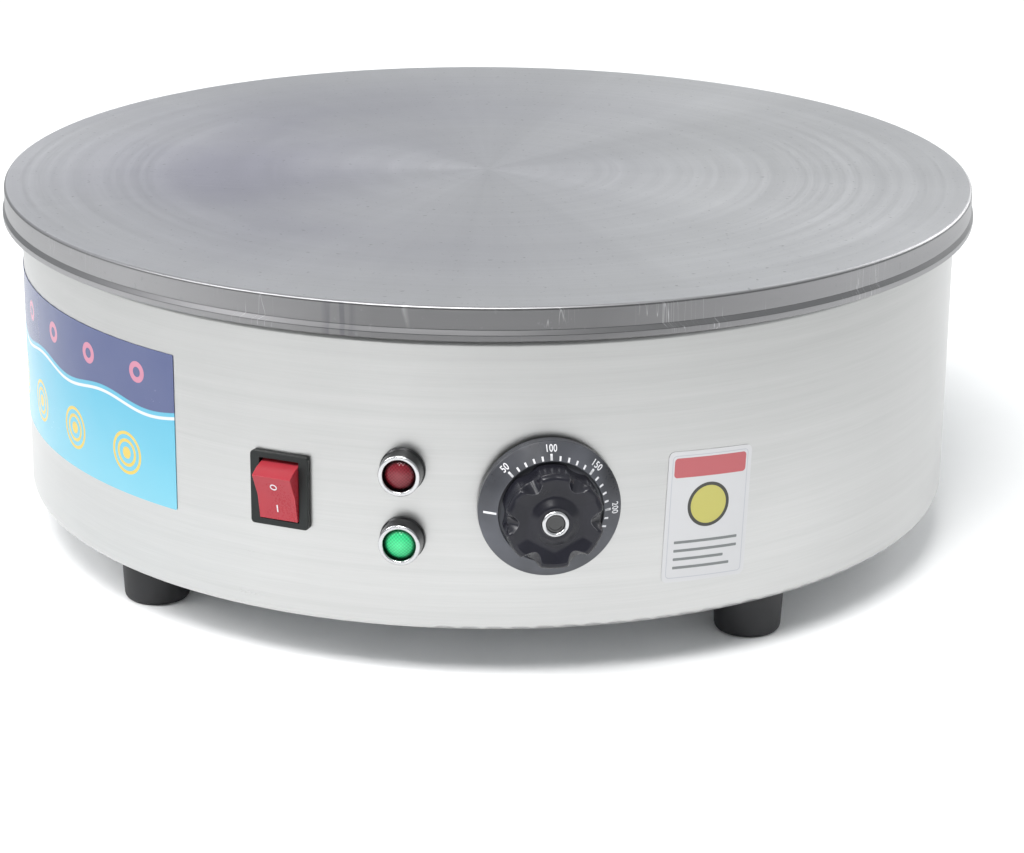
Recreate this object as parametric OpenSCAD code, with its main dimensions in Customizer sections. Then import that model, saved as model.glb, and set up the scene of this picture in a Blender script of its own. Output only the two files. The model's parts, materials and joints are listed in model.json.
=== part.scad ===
// Round electric griddle for flat breads: a cast plate on a steel drum.
// Millimetres. The origin is on the floor at the drum's axis, the front faces -Y and +Z is up.

/* [Plate] */
// Height of the cooking surface above the floor
overall_h = 150; // [140:1:165]
// Widest diameter of the plate, across the lower band of its rim
plate_d = 400; // [390:1:430]
// Thickness of the plate
plate_t = 13; // [13:0.5:18]
// Height of the rim's lower band
band_h = 4.2; // [3:0.1:5]
// How far the lower band stands out past the upper one
band_step = 0.9; // [0.4:0.1:1.5]
// Radius of the rounded top edge
top_edge_r = 1.4; // [0.6:0.1:2]
// Depth of the grooves that seat the heating rings
groove_d = 3; // [1:0.5:4]

/* [Drum] */
// How far the plate overhangs the drum
plate_overhang = 7.5; // [5:0.5:10]
// Thickness of the drum's steel sheet
wall = 1; // [0.8:0.1:1.5]
// Width of the flanges turned in at the top and the bottom
flange_w = 14; // [13:0.5:18]
// Outside radius of the bends between wall and flanges
bend_r = 3; // [2:0.5:4]
// Thickness of the gasket between drum and plate
gasket_t = 1; // [0.6:0.1:2]
// Width of the lap where the sheet's ends overlap
lap_w = 14; // [10:1:20]
// Place of the lap round the drum, from the front
lap_az = 150; // [140:1:160]
// Number of rivets in the lap
rivet_count = 5; // [3:1:7]

/* [Base and feet] */
// Thickness of the base cover
cover_t = 0.8; // [0.6:0.1:1.5]
// How far the base cover's edge lies inside the drum's
cover_inset = 4.5; // [3.5:0.5:5]
// Height of a foot
foot_h = 22.2; // [18:0.1:30]
// Distance of a foot's middle inside the drum's edge
foot_inset = 26.4; // [23.5:0.1:42]
// Radius of a foot where it meets the cover
foot_top_r = 14; // [13:0.5:16]
// Radius of a foot at the floor
foot_low_r = 13; // [11:0.5:14]
// Radius of the rounding at a foot's lower edge
foot_edge_r = 2.5; // [1:0.5:4]
// Height of the seat for a foot's screw
foot_seat_h = 10; // [9:0.5:13]
// Number of screws that hold the base cover
base_screw_count = 8; // [4:1:12]
// Number of radial cooling slots in the base cover
slot_count = 12; // [6:1:16]
// Width of a cooling slot
slot_w = 5; // [3:0.5:8]
// Length of a cooling slot
slot_len = 40; // [20:1:50]

/* [Heating rings] */
// Radius of the outer ring
outer_ring_r = 150; // [145:1:154]
// Radius of the middle ring
middle_ring_r = 105; // [100:1:110]
// Radius of the inner ring
inner_ring_r = 60; // [50:1:65]
// Radius of a ring's tube
ring_tube_r = 4.25; // [3:0.25:4.5]
// Radius of the bend at each end of a ring
ring_bend_r = 12; // [10:0.5:14]
// Half the distance between a ring's two legs
leg_half = 15; // [12:1:20]
// Height of the lower end of the legs
leg_low_z = 100; // [90:1:103]
// Thickness of the plate that clamps the rings
clamp_t = 2; // [1:0.5:3]
// Thickness of the insulation
pad_t = 12; // [8:0.5:12]
// Thickness of the heat shield
shield_t = 1; // [0.6:0.1:1.5]
// Height of the heat shield's rim
shield_rim_h = 9; // [5:0.5:10]
// Distance of the clamp studs from the axis
stud_circle_r = 128; // [125:1:130]
// Number of clamp studs round the plate
stud_count = 6; // [3:1:8]
// Depth of a stud in the plate
stud_depth = 8; // [6:0.5:9]

/* [Fasteners] */
// Radius of the bolts and studs in the plate
bolt_r = 3; // [2.5:0.1:3.2]
// Number of bolts between drum and plate
plate_bolt_count = 6; // [4:1:12]
// Depth of a bolt in the plate
bolt_depth = 8; // [6:0.5:9]
// Width of a bolt's hexagon across its corners
bolt_hex_d = 11.5; // [10:0.1:11.8]
// Height of a bolt's head
bolt_head_h = 4; // [3:0.5:6]
// Radius of a washer under a bolt or nut
washer_r = 6; // [5.9:0.1:6.2]
// Thickness of a washer
washer_t = 1.2; // [0.8:0.1:2]
// Height of a nut on a clamp stud
nut_h = 5; // [3:0.5:6]
// Radius of the base cover's screws
base_screw_r = 1.9; // [1.5:0.1:2.2]
// Radius of the foot screws
foot_screw_r = 2.5; // [2:0.1:3]

/* [Switch] */
// Place of the switch round the drum, from the front
switch_az = -16; // [-20:0.5:-12]
// Height of the switch and the knob above the floor
control_z = 73; // [70:0.5:78]
// Width of the switch's bezel
bezel_w = 23.5; // [22.5:0.5:26]
// Height of the switch's bezel
bezel_h = 28.5; // [28:0.5:34]
// Thickness of the bezel
bezel_t = 2; // [1.5:0.1:3]
// Width of the rocker
rocker_w = 15.4; // [14.5:0.1:15.6]
// Half the length of the rocker's face
rocker_half = 9.7; // [9.5:0.1:10.2]
// Height of the rocker's face above its pivot, at its ends
rocker_rise = 7; // [6.5:0.1:7.5]
// Angle of the rocker either side of its middle position
rocker_tilt = 18; // [14:0.5:18]
// Depth of the switch's body behind the drum wall
switch_depth = 24; // [23.5:0.5:30]
// Length of a terminal tab behind a switch, lamp or thermostat
tab_len = 8; // [6:0.5:10]

/* [Lamps] */
// Place of the lamps round the drum, from the front
lamp_az = -2; // [-4:0.5:2]
// Height of the upper, red lamp
red_lamp_z = 85.6; // [83:0.1:90]
// Height of the lower, green lamp
green_lamp_z = 58.9; // [52:0.1:62]
// Radius of a lamp's bezel at the drum
lamp_r = 8.5; // [8:0.1:10]
// Radius of the bezel at its front
lamp_front_r = 7.8; // [7.4:0.1:8]
// Radius of a lens
lens_r = 6; // [5.5:0.1:6.3]
// How far a bezel stands out of the drum
lamp_reach = 8; // [6:0.5:10]
// Radius of the threaded barrel behind a lamp
barrel_r = 4.9; // [4.5:0.1:5.1]
// Length of the barrel behind the drum's face
barrel_len = 20; // [16:1:30]

/* [Thermostat and knob] */
// Place of the knob round the drum, from the front
knob_az = 13.8; // [13.5:0.1:18.5]
// Radius of the dial's skirt
skirt_r = 26.2; // [25:0.1:27]
// Thickness of the skirt's lip
skirt_lip_t = 3.6; // [3:0.1:4]
// Gap between the drum and the skirt
skirt_gap = 1.4; // [1:0.1:2]
// Radius of the well in which the grip sits
well_r = 19.2; // [19:0.1:20]
// Height of the well's edge above the drum
well_top = 8.9; // [8.5:0.1:10]
// Depth of the well
well_d = 2; // [1.5:0.1:2.2]
// Radius of the grip
grip_r = 18.2; // [17.5:0.1:18.4]
// Height of the grip's front above the drum
grip_front = 20.6; // [19:0.1:24]
// Number of finger bites round the grip
bite_count = 6; // [5:1:8]
// Radius of a finger bite
bite_r = 9; // [7:0.5:11]
// Depth of a finger bite
bite_d = 2; // [1:0.1:2.5]
// Radius of the raised boss on the grip's face
boss_r = 10.2; // [9.5:0.1:10.6]
// Depth of the dish round the boss
dish_d = 2; // [1:0.1:3]
// Radius of the chrome ring on the boss
cap_r = 5; // [4.5:0.1:5.5]
// Radius of the thermostat's shaft
shaft_r = 3; // [2.5:0.1:3.5]
// Distance of the shaft's flat from its axis
shaft_flat = 1.6; // [1.4:0.1:2.2]
// Half the distance between the thermostat's two screws
mount_half = 14; // [13:0.5:15]
// Radius of the thermostat's screws
mount_screw_r = 2; // [1.5:0.1:2]
// Width of the thermostat's body
thermo_w = 36; // [34:1:44]
// Height of the thermostat's body
thermo_h = 34; // [32:1:38]
// Depth of the thermostat's body
thermo_d = 30; // [25:1:36]
// Radius of the sensor bulb
bulb_r = 2.8; // [2:0.1:2.8]
// Length of the sensor bulb
bulb_len = 60; // [50:1:64]
// Distance of the sensor bulb from the plate's axis
bulb_circle_r = 82; // [80:1:84]
// Place of the sensor bulb round the plate, from the front
bulb_az = 20; // [16:1:24]

/* [Gland and terminals] */
// Place of the gland round the drum, from the front
gland_az = 180; // [175:1:185]
// Height of the gland above the floor
gland_z = 45; // [43:1:60]
// Radius of the lead that the gland takes
lead_r = 4.5; // [3.5:0.1:5]
// Radius of the gland's thread
gland_thread_r = 9.9; // [9.5:0.1:11]
// Width of the gland's hexagons across their corners
gland_hex_d = 27.7; // [25:0.1:30]
// How far the gland stands out of the drum
gland_reach = 17.6; // [17:0.1:24]
// Distance between the poles of the terminal block
pole_pitch = 11; // [10:0.5:13]
// Number of poles in the terminal block
pole_count = 5; // [5:1:6]
// Gap between the terminal block's back and the drum's wall
block_gap = 59.5; // [54.5:0.5:69.5]
// Depth of the terminal block
block_d = 22; // [20:1:26]
// Height of the terminal block
block_h = 18; // [16:1:22]
// Radius of the power wires
wire_r = 1.5; // [1:0.1:1.6]
// Radius of the lamp wires
lamp_wire_r = 0.9; // [0.6:0.1:1]

/* [Printed foils] */
// Width of the label on the right of the front
label_w = 35; // [28:0.5:36]
// Height of that label
label_h = 51.2; // [45:0.1:58]
// Place of the label round the drum, from the front
label_az = 32.3; // [31:0.1:36]
// Height of the label's middle above the floor
label_z = 63; // [58:0.5:70]
// Turn of the label on the drum
label_turn = -2.5; // [-5:0.5:5]
// Height of the foil's lower edge on the left side
sticker_low_z = 55.3; // [45:0.1:60]
// Height of the foil itself
sticker_h = 61.4; // [50:0.1:65]
// Place of the foil's right edge round the drum, from the front
sticker_edge_az = -30.2; // [-32:0.1:-28]
// Angle that the foil takes up round the drum
sticker_span = 49.3; // [40:0.1:60]
// Thickness of the foils
foil_t = 0.2; // [0.1:0.05:0.3]

/* [Hidden] */
$fn = 96;

// Clearances: seat between still faces, thread round a screw, slip round a screw in a clear hole,
// running round a shaft or pivot, and room between a moving piece and what it passes
seat = 0.1;
thread = 0.1;
slip = 0.3;
running = 0.06;
room = 0.3;
// Length by which a cutting tool passes the face that it cuts
past = 1;

// Heights, from the floor up
cover_top = foot_h + cover_t;
foot_washer_r = 6;
drum_low = cover_top;
plate_low = overall_h - plate_t;
drum_top = plate_low - gasket_t;
drum_h = drum_top - drum_low;

// Radii, from the drum outwards and inwards
plate_r = plate_d / 2;
shell_r = plate_r - plate_overhang;
shell_in_r = shell_r - wall;
flange_in_r = shell_r - flange_w;
flange_flat_r = shell_r - bend_r;
fixing_r = flange_flat_r - washer_r - room - slip;
cover_r = shell_r - cover_inset;
foot_circle_r = shell_r - foot_inset;
base_fixing_r = (flange_in_r + cover_r) / 2;
stack_r = flange_in_r - 10;
clamp_r = stack_r - 3.5;

// The lap in the drum's sheet ends short of the bends
lap_angle = 360 * lap_w / (2 * PI * shell_in_r);
lap_low = drum_low + bend_r + 2;
lap_h = drum_h - 2 * (bend_r + 2);
rivet_r = 1.6;
rivet_margin = 8;
// Half the depth of a cut that goes through the curved wall
wall_cut = 4;

// The stack under the plate
// A ring's tube is drawn a little larger at its bends, and again at its legs
swell = 0.1;
leg_r = ring_tube_r + 2 * swell;
ring_z = plate_low + groove_d - slip - ring_tube_r;
clamp_top = ring_z - ring_tube_r - seat;
clamp_low = clamp_top - clamp_t;
pad_low = clamp_low - pad_t;
shield_low = pad_low - shield_t;
// How far a screw or stud stands out past its nut
nut_past = 2;
stud_low = shield_low - washer_t - nut_h - nut_past;
bead_r = 5;
bead_h = 6;
pin_r = 2;
link_w = 10;
link_t = 1.5;
link_gap = 4;
link_top = leg_low_z - bead_h - link_gap;
link_low = link_top - link_t;
hole_at_bulb = bulb_len / 2 + 10;
capillary_r = 1;

// How far a flat face of a given half width must stand back inside the round wall
function sag(half) = shell_in_r - sqrt(shell_in_r * shell_in_r - half * half);
function behind_wall(half) = wall + sag(half) + seat;

// The switch, from its bezel inwards
pocket_w = rocker_w + 2 * room;
pivot_z = bezel_t + 0.4 - rocker_rise * cos(rocker_tilt) + rocker_half * sin(rocker_tilt);
pocket_half = rocker_half * cos(rocker_tilt) + rocker_rise * sin(rocker_tilt) + 0.4;
housing_w = pocket_w + 4;
housing_h = 2 * pocket_half + 2;
pocket_floor = 19;
pivot_pin_r = 1.5;
pivot_pin_len = 1.2;
rocker_belly = 3.5;
stem_len = 9.5;
stem_w = 4.4;
plunger_r = 1.4;
plunger_tip = 11.2;
pole_x = 4.2;
bridge_w = 3.6;
bridge_half = 5.6;
bridge_t = 0.8;
// A bridge rocks on a round knuckle across its underside
knuckle_r = 0.6;
bridge_pivot_z = pivot_z - plunger_tip - plunger_r - room - bridge_t;
bridge_tilt = rocker_tilt / 2;
tab_t = 0.8;
tab_w = 5;
// How deep a tab sits in the body that carries it
tab_root = 3;
contact_y = 4.4;

// The knob, from the drum outwards
skirt_t = 1.6;
well_floor = well_top - well_d;
lip_top = skirt_gap + skirt_lip_t;
hub_r = 6.8;
hub_back = skirt_gap + 0.6;
shaft_tip = grip_front - 5;
shaft_root = 14;
cap_t = 2.2;
cap_z = grip_front - 1.4;
disc_r = cap_r - 1.7;
flange_half_w = 11;
flange_half_h = mount_half + 9;
flange_t = 1.5;
flange_front = behind_wall(flange_half_w);
thermo_front = flange_front + flange_t;
thermo_back = thermo_front + thermo_d;
thermo_tab_x = 9;
mount_screw_root = 3.5;
shaft_hole_r = shaft_r + 2;

// The lamps, from the drum outwards
bezel_floor = 1.4;
bulb_glass_r = 2.6;
barrel_bore_r = 3.2;
lamp_nut_d = 16;
lamp_nut_t = 3.5;
lamp_tab_x = 2.6;
lamp_tab_w = 2;
// Thickness of the end that closes the barrel, and how far back the tabs reach
barrel_cap = 3;
lamp_tab_end = barrel_cap - barrel_len - tab_len;

// The gland, from the drum outwards and inwards
gland_flange_t = 5;
collet_r = gland_thread_r - 1.4;
collet_top = gland_reach - 4;
seal_r = collet_r - 1.6;
seal_len = 8;
locknut_t = 4.5;
locknut_face = behind_wall(gland_hex_d / 2);
spigot_len = locknut_face + locknut_t + 2;

// The terminal block and the earth stud, on the base cover
block_w = pole_count * pole_pitch;
block_y = shell_in_r - block_gap - block_d;
pole_bore_r = 3;
pole_z = cover_top + 11;
clamp_screw_r = 1.75;
earth_x = block_w / 2 + 34.5;
earth_y = block_y + 10;
earth_stud_r = 2.5;
small_nut_t = 4;
small_hex_d = 9.2;
tag_z = cover_top + small_nut_t;
tag_t = 0.8;
tag_r = 5.5;
// How far the earth wire's end lies over its tag
tag_lap = 1;
block_screw_len = pole_z - pole_bore_r - cover_top - 2;
// Distance of a clamp screw from the block's face
screw_inset = 4;

// Points that the wires pass on their way, chosen by hand
capillary_route = [[70, -90, 98]];
live_route = [[-45, 40, 34], [-50, -60, 36]];
neutral_route = [[-34, 40, 46], [-38, -60, 48]];
return_route = [[-30, -80, 66], [-18, 30, 66]];
switched_route = [[0, -112, 86]];
heating_route = [[42, -60, 62], [22, 30, 62]];
earth_route = [
    [2, block_y - 18, cover_top + 5], [30, block_y - 26, cover_top + 3.5],
    [earth_x - 10, block_y - 22, cover_top + 4]
];
lamp_route = [[0, -134, 52], [12, -60, 44], [20, 60, 38]];
link_y = 80;
// Lengths of wire that run straight out of the block, the switch, the thermostat, the rings, the
// lamps and the earth tag
block_run = 14;
switch_run = 14;
contact_run = 18;
thermo_run = 16;
link_run = 12;
lamp_run = 10;
earth_run = 12;
// Distance of the lamp wires from their route, in pairs, and the second lamp's from the first
lamp_pair_x = 1.3;
lamp_side_x = 3;
lamp_step = [0, 8, -6];

// Puts a piece on the drum's wall: local x to the right, y up and z out of the drum
module at_wall(az, h) {
    rotate([0, 0, az]) translate([0, -shell_r, h]) rotate([90, 0, 0]) children();
}

// Places a piece several times round the drum's axis, first at a given place from the front
module round_drum(count, r, first = 0) {
    for (k = [0 : count - 1]) rotate([0, 0, first + 360 * k / count]) translate([0, -r, 0]) children();
}

// A point given on the wall's own axes, in the drum's frame
function turn(p, az) = [p.x * cos(az) - p.y * sin(az), p.x * sin(az) + p.y * cos(az), p.z];
function on_wall(az, h, p) = turn([p.x, -(shell_r + p.z), h + p.y], az);
function on_bulb(x, z) = turn([x, -bulb_circle_r, z], bulb_az);

// A flat bar from one height to another, on a hexagon or a circle
module hexagon(d, h) { cylinder(d = d, h = h, $fn = 6); }
module block(size) { translate([-size.x / 2, -size.y / 2, 0]) cube(size); }

// Cuts a route's corners twice, so that a wire bends softly; its two ends stay
function soften(p) = concat(
    [p[0]],
    [for (i = [0 : len(p) - 2]) each [0.75 * p[i] + 0.25 * p[i + 1], 0.25 * p[i] + 0.75 * p[i + 1]]],
    [p[len(p) - 1]]
);
function unit(v) = v / norm(v);
function headings(p) = [for (i = [0 : len(p) - 1]) unit(p[min(i + 1, len(p) - 1)] - p[max(i - 1, 0)])];
function square_to(n, t) = unit(n - (n * t) * t);
function sides_of(t, n, i = 0) = i == len(t) ? []
    : let (m = square_to(n, t[i])) concat([m], sides_of(t, m, i + 1));

// A round wire along a route
module wire(route, r, sides = 8) {
    p = soften(soften(route));
    t = headings(p);
    n = sides_of(t, abs(t[0].z) > 0.9 ? [1, 0, 0] : [0, 0, 1]);
    last = len(p) - 1;
    points = [for (i = [0 : last], k = [0 : sides - 1])
        let (a = 360 * k / sides) p[i] + r * (cos(a) * n[i] + sin(a) * cross(t[i], n[i]))];
    skin = [for (i = [0 : last - 1], k = [0 : sides - 1])
        let (a = i * sides + k, b = i * sides + (k + 1) % sides)
        each [[a, a + sides, b + sides], [a, b + sides, b]]];
    ends = [
        [for (k = [0 : sides - 1]) k],
        [for (k = [sides - 1 : -1 : 0]) last * sides + k]
    ];
    polyhedron(points = points, faces = concat(skin, ends));
}

// The plate: a turned disc with a stepped rim, and grooves and blind holes underneath
module griddle_plate() {
    upper_r = plate_r - band_step;
    shoulder = 0.8;
    color("dimgray") difference() {
        rotate_extrude() {
            translate([0, plate_low]) square([upper_r - top_edge_r, plate_t]);
            polygon([
                [0, plate_low], [plate_r - shoulder, plate_low], [plate_r, plate_low + shoulder],
                [plate_r, plate_low + band_h - shoulder], [plate_r - shoulder / 2, plate_low + band_h],
                [upper_r, plate_low + band_h + shoulder / 2], [upper_r, overall_h - top_edge_r],
                [0, overall_h - top_edge_r]
            ]);
            translate([upper_r - top_edge_r, overall_h - top_edge_r]) circle(r = top_edge_r, $fn = 48);
        }
        for (r = [outer_ring_r, middle_ring_r, inner_ring_r])
            rotate_extrude() translate([r, ring_z]) circle(r = ring_tube_r + slip + swell, $fn = 48);
        round_drum(plate_bolt_count, fixing_r)
            translate([0, 0, plate_low - past]) cylinder(r = bolt_r + thread, h = bolt_depth + past + seat);
        at_studs() translate([0, 0, plate_low - past])
            cylinder(r = bolt_r + thread, h = stud_depth + past + seat);
    }
}

// The gasket between the drum's top flange and the plate
module rim_gasket() {
    color("whitesmoke") difference() {
        translate([0, 0, drum_top]) cylinder(r = flange_flat_r, h = gasket_t);
        translate([0, 0, drum_top - past]) cylinder(r = flange_in_r + 2, h = gasket_t + 2 * past);
        round_drum(plate_bolt_count, fixing_r)
            translate([0, 0, drum_top - past]) cylinder(r = bolt_r + slip, h = gasket_t + 2 * past);
    }
}

// Half of a channel's outline, with its two outer corners round
module channel_half(w, h, r) {
    square([w - r, h]);
    translate([0, r]) square([w, h - 2 * r]);
    for (y = [r, h - r]) translate([w - r, y]) circle(r = r, $fn = 48);
}

// The drum: one sheet rolled round, flanged in at both ends, lapped and riveted at the back
module drum_shell() {
    lap_line = 0.3;
    color("silver") difference() {
        union() {
            rotate_extrude() translate([flange_in_r, drum_low]) difference() {
                channel_half(flange_w, drum_h, bend_r);
                translate([-past, wall])
                    channel_half(flange_w - wall + past, drum_h - 2 * wall, bend_r - wall);
            }
            rotate([0, 0, lap_az - 90 - lap_angle / 2])
                rotate_extrude(angle = lap_angle) translate([shell_in_r - wall, lap_low])
                    square([1.5 * wall, lap_h]);
        }
        at_wall(lap_az, lap_low) translate([lap_w / 2, 0, -lap_line]) cube([lap_line, lap_h, past]);
        at_switch() translate([0, 0, -wall_cut])
            block([housing_w + 2 * slip, housing_h + 2 * slip, 2 * wall_cut]);
        at_lamps() translate([0, 0, -wall_cut]) cylinder(r = barrel_r + slip, h = 2 * wall_cut);
        at_knob() translate([0, 0, -wall_cut]) {
            cylinder(r = shaft_hole_r, h = 2 * wall_cut);
            for (y = [-mount_half, mount_half]) translate([0, y, 0])
                cylinder(r = mount_screw_r + slip, h = 2 * wall_cut);
        }
        at_gland() translate([0, 0, -wall_cut])
            cylinder(r = gland_thread_r + slip, h = 2 * wall_cut);
        round_drum(plate_bolt_count, fixing_r)
            translate([0, 0, drum_top - wall - past]) cylinder(r = bolt_r + slip, h = wall + 2 * past);
        at_base_screws() translate([0, 0, drum_low - past])
            cylinder(r = base_screw_r + thread, h = wall + 2 * past);
        at_rivets() translate([0, 0, -wall_cut]) cylinder(r = rivet_r + thread, h = 2 * wall_cut);
    }
}

// The rivets through the lap
module at_rivets() {
    gap = (lap_h - 2 * rivet_margin) / (rivet_count - 1);
    for (k = [0 : rivet_count - 1]) at_wall(lap_az, lap_low + rivet_margin + k * gap) children();
}
module seam_rivets() {
    head_r = 3;
    head_h = 1.2;
    head_round = 4.4;
    tail_h = 1;
    tail_z = -2 * wall - sag(head_r) - seat;
    color("gainsboro") at_rivets() {
        translate([0, 0, tail_z]) cylinder(r = rivet_r, h = 2 * seat - tail_z);
        translate([0, 0, seat]) intersection() {
            cylinder(r = head_r, h = head_h);
            translate([0, 0, head_h - head_round]) sphere(r = head_round);
        }
        translate([0, 0, tail_z - tail_h]) cylinder(r = head_r - 0.4, h = tail_h);
    }
}

// A ring, and a hexagon with a round hole
module washer(r, hole_r, h) {
    difference() {
        cylinder(r = r, h = h);
        translate([0, 0, -past]) cylinder(r = hole_r, h = h + 2 * past);
    }
}
module nut(d, hole_r, h) {
    difference() {
        hexagon(d, h);
        translate([0, 0, -past]) cylinder(r = hole_r, h = h + 2 * past);
    }
}

// The bolts that hold the plate to the drum's top flange
module plate_bolts() {
    head_z = drum_top - wall - washer_t;
    color("lightgray") round_drum(plate_bolt_count, fixing_r) {
        translate([0, 0, head_z]) cylinder(r = bolt_r, h = plate_low + bolt_depth - head_z);
        translate([0, 0, head_z - bolt_head_h]) hexagon(bolt_hex_d, bolt_head_h);
    }
}
module plate_washers() {
    color("gainsboro") round_drum(plate_bolt_count, fixing_r)
        translate([0, 0, drum_top - wall - washer_t]) washer(washer_r, bolt_r + thread, washer_t);
}

// A heating ring: an arc open at the back, whose ends bend down into two legs
function ring_reach(r) = sqrt(r * r + ring_bend_r * ring_bend_r);
function ring_open(r) = asin(leg_half / ring_reach(r)) + atan(ring_bend_r / r);
function leg_y(r) = sqrt(ring_reach(r) * ring_reach(r) - leg_half * leg_half);
module ring_element(r) {
    open = ring_open(r);
    join_angle = 3;
    join_len = 0.5;
    rotate([0, 0, 90 + open]) rotate_extrude(angle = 360 - 2 * open)
        translate([r, ring_z]) circle(r = ring_tube_r);
    for (side = [0, 1]) mirror([side, 0, 0]) {
        translate([r * sin(open), r * cos(open), ring_z - ring_bend_r]) rotate([0, 0, 180 - open])
            rotate([90, 0, 0]) rotate_extrude(angle = 90 + join_angle)
                translate([ring_bend_r, 0]) circle(r = ring_tube_r + swell);
        translate([leg_half, leg_y(r), leg_low_z])
            cylinder(r = leg_r, h = ring_z - ring_bend_r - leg_low_z + join_len);
    }
}
module outer_element() { color("slategray") ring_element(outer_ring_r); }
module middle_element() { color("slategray") ring_element(middle_ring_r); }
module inner_element() { color("slategray") ring_element(inner_ring_r); }

// Places a piece at each leg of the three rings
module at_legs() {
    for (r = [outer_ring_r, middle_ring_r, inner_ring_r], side = [-1, 1])
        translate([side * leg_half, leg_y(r), 0]) children();
}
module element_beads() {
    color("ivory") at_legs() translate([0, 0, leg_low_z - bead_h]) washer(bead_r, pin_r + seat, bead_h);
}
// Pins out of the legs, welded in two strips: live on the right, neutral on the left
module element_links() {
    pin_h = leg_low_z - link_low;
    color("goldenrod") {
        at_legs() translate([0, 0, link_low]) cylinder(r = pin_r, h = pin_h);
        for (side = [-1, 1])
            translate([side * leg_half - link_w / 2, leg_y(inner_ring_r) - link_w / 2, link_low])
                cube([link_w, leg_y(outer_ring_r) - leg_y(inner_ring_r) + link_w, link_t]);
    }
}

// Places a piece at each clamp stud: one at the middle and a circle of them
module at_studs() {
    children();
    round_drum(stud_count, stud_circle_r) children();
}
// The holes that the studs, the legs and the sensor's capillary pass through
module stack_holes(low, high) {
    width = 2 * (leg_r + slip);
    translate([0, 0, low - past]) {
        at_studs() cylinder(r = bolt_r + slip, h = high - low + 2 * past);
        for (r = [outer_ring_r, middle_ring_r, inner_ring_r], side = [0, 1]) mirror([side, 0, 0])
            translate([leg_half, leg_y(r), 0]) rotate([0, 0, -ring_open(r)])
                linear_extrude(height = high - low + 2 * past) leg_slot(width);
        translate(on_bulb(hole_at_bulb, 0)) cylinder(r = 3 * capillary_r, h = high - low + 2 * past);
    }
}
// A slot that takes a leg and its bend
module leg_slot(width) {
    circle(d = width, $fn = 48);
    translate([0, -width / 2]) square([ring_bend_r + 1, width]);
    translate([ring_bend_r + 1, 0]) circle(d = width, $fn = 48);
}
module element_clamp() {
    color("darkgray") difference() {
        translate([0, 0, clamp_low]) cylinder(r = clamp_r, h = clamp_t);
        stack_holes(clamp_low, clamp_top);
    }
}
module insulation_pad() {
    color("wheat") difference() {
        translate([0, 0, pad_low]) cylinder(r = stack_r - shield_t - seat, h = pad_t);
        stack_holes(pad_low, clamp_low);
    }
}
module heat_shield() {
    color("silver") difference() {
        translate([0, 0, shield_low]) cylinder(r = stack_r, h = shield_rim_h + shield_t);
        translate([0, 0, pad_low]) cylinder(r = stack_r - shield_t, h = shield_rim_h + past);
        stack_holes(shield_low, pad_low);
    }
}
module clamp_studs() {
    color("lightgray") at_studs() translate([0, 0, stud_low])
        cylinder(r = bolt_r, h = plate_low + stud_depth - stud_low);
}
module clamp_washers() {
    color("gainsboro") at_studs() translate([0, 0, shield_low - washer_t])
        washer(washer_r, bolt_r + thread, washer_t);
}
module clamp_nuts() {
    color("lightgray") at_studs() translate([0, 0, shield_low - washer_t - nut_h])
        nut(bolt_hex_d, bolt_r + thread, nut_h);
}

// The thermostat's sensor: a bulb between plate and clamp, and a capillary down to the thermostat
module sensor_bulb() {
    bulb_z = plate_low - seat - bulb_r;
    color("peru") {
        rotate([0, 0, bulb_az]) translate([-bulb_len / 2, -bulb_circle_r, bulb_z])
            rotate([0, 90, 0]) cylinder(r = bulb_r, h = bulb_len, $fn = 32);
        wire([
            on_bulb(bulb_len / 2 - 1, bulb_z), on_bulb(hole_at_bulb, bulb_z),
            on_bulb(hole_at_bulb, shield_low - 6), each capillary_route,
            on_wall(knob_az, control_z, [8, thermo_h / 2 + 12, -thermo_back + 10]),
            on_wall(knob_az, control_z, [8, thermo_h / 2, -thermo_back + 10])
        ], capillary_r, 6);
    }
}

// The base cover, with radial cooling slots round its middle
module slot(w, len) {
    square([w, len - w], center = true);
    for (y = [-1, 1]) translate([0, y * (len - w) / 2]) circle(d = w, $fn = 32);
}
module base_cover() {
    slot_circle_r = 70;
    color("lightgray") difference() {
        translate([0, 0, foot_h]) cylinder(r = cover_r, h = cover_t);
        translate([0, 0, foot_h - past]) {
            round_drum(slot_count, slot_circle_r) linear_extrude(height = cover_t + 2 * past)
                slot(slot_w, slot_len);
            at_base_screws() cylinder(r = base_screw_r + slip, h = cover_t + 2 * past);
            at_feet() cylinder(r = foot_screw_r + slip, h = cover_t + 2 * past);
            at_block_screws() cylinder(r = base_screw_r + thread, h = cover_t + 2 * past);
        }
    }
}
module at_feet() { round_drum(4, foot_circle_r, 45) children(); }
module at_base_screws() {
    round_drum(base_screw_count, base_fixing_r, 180 / base_screw_count) children();
}
// A pan-headed screw up through the cover, from below
module cover_screw(len) {
    head_r = 3.6;
    head_h = 2.2;
    translate([0, 0, foot_h - head_h]) cylinder(r = head_r, h = head_h);
    translate([0, 0, foot_h]) cylinder(r = base_screw_r, h = cover_t + len);
}
module base_screws() {
    tip = 5;
    color("gainsboro") at_base_screws() cover_screw(wall + tip);
}

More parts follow.
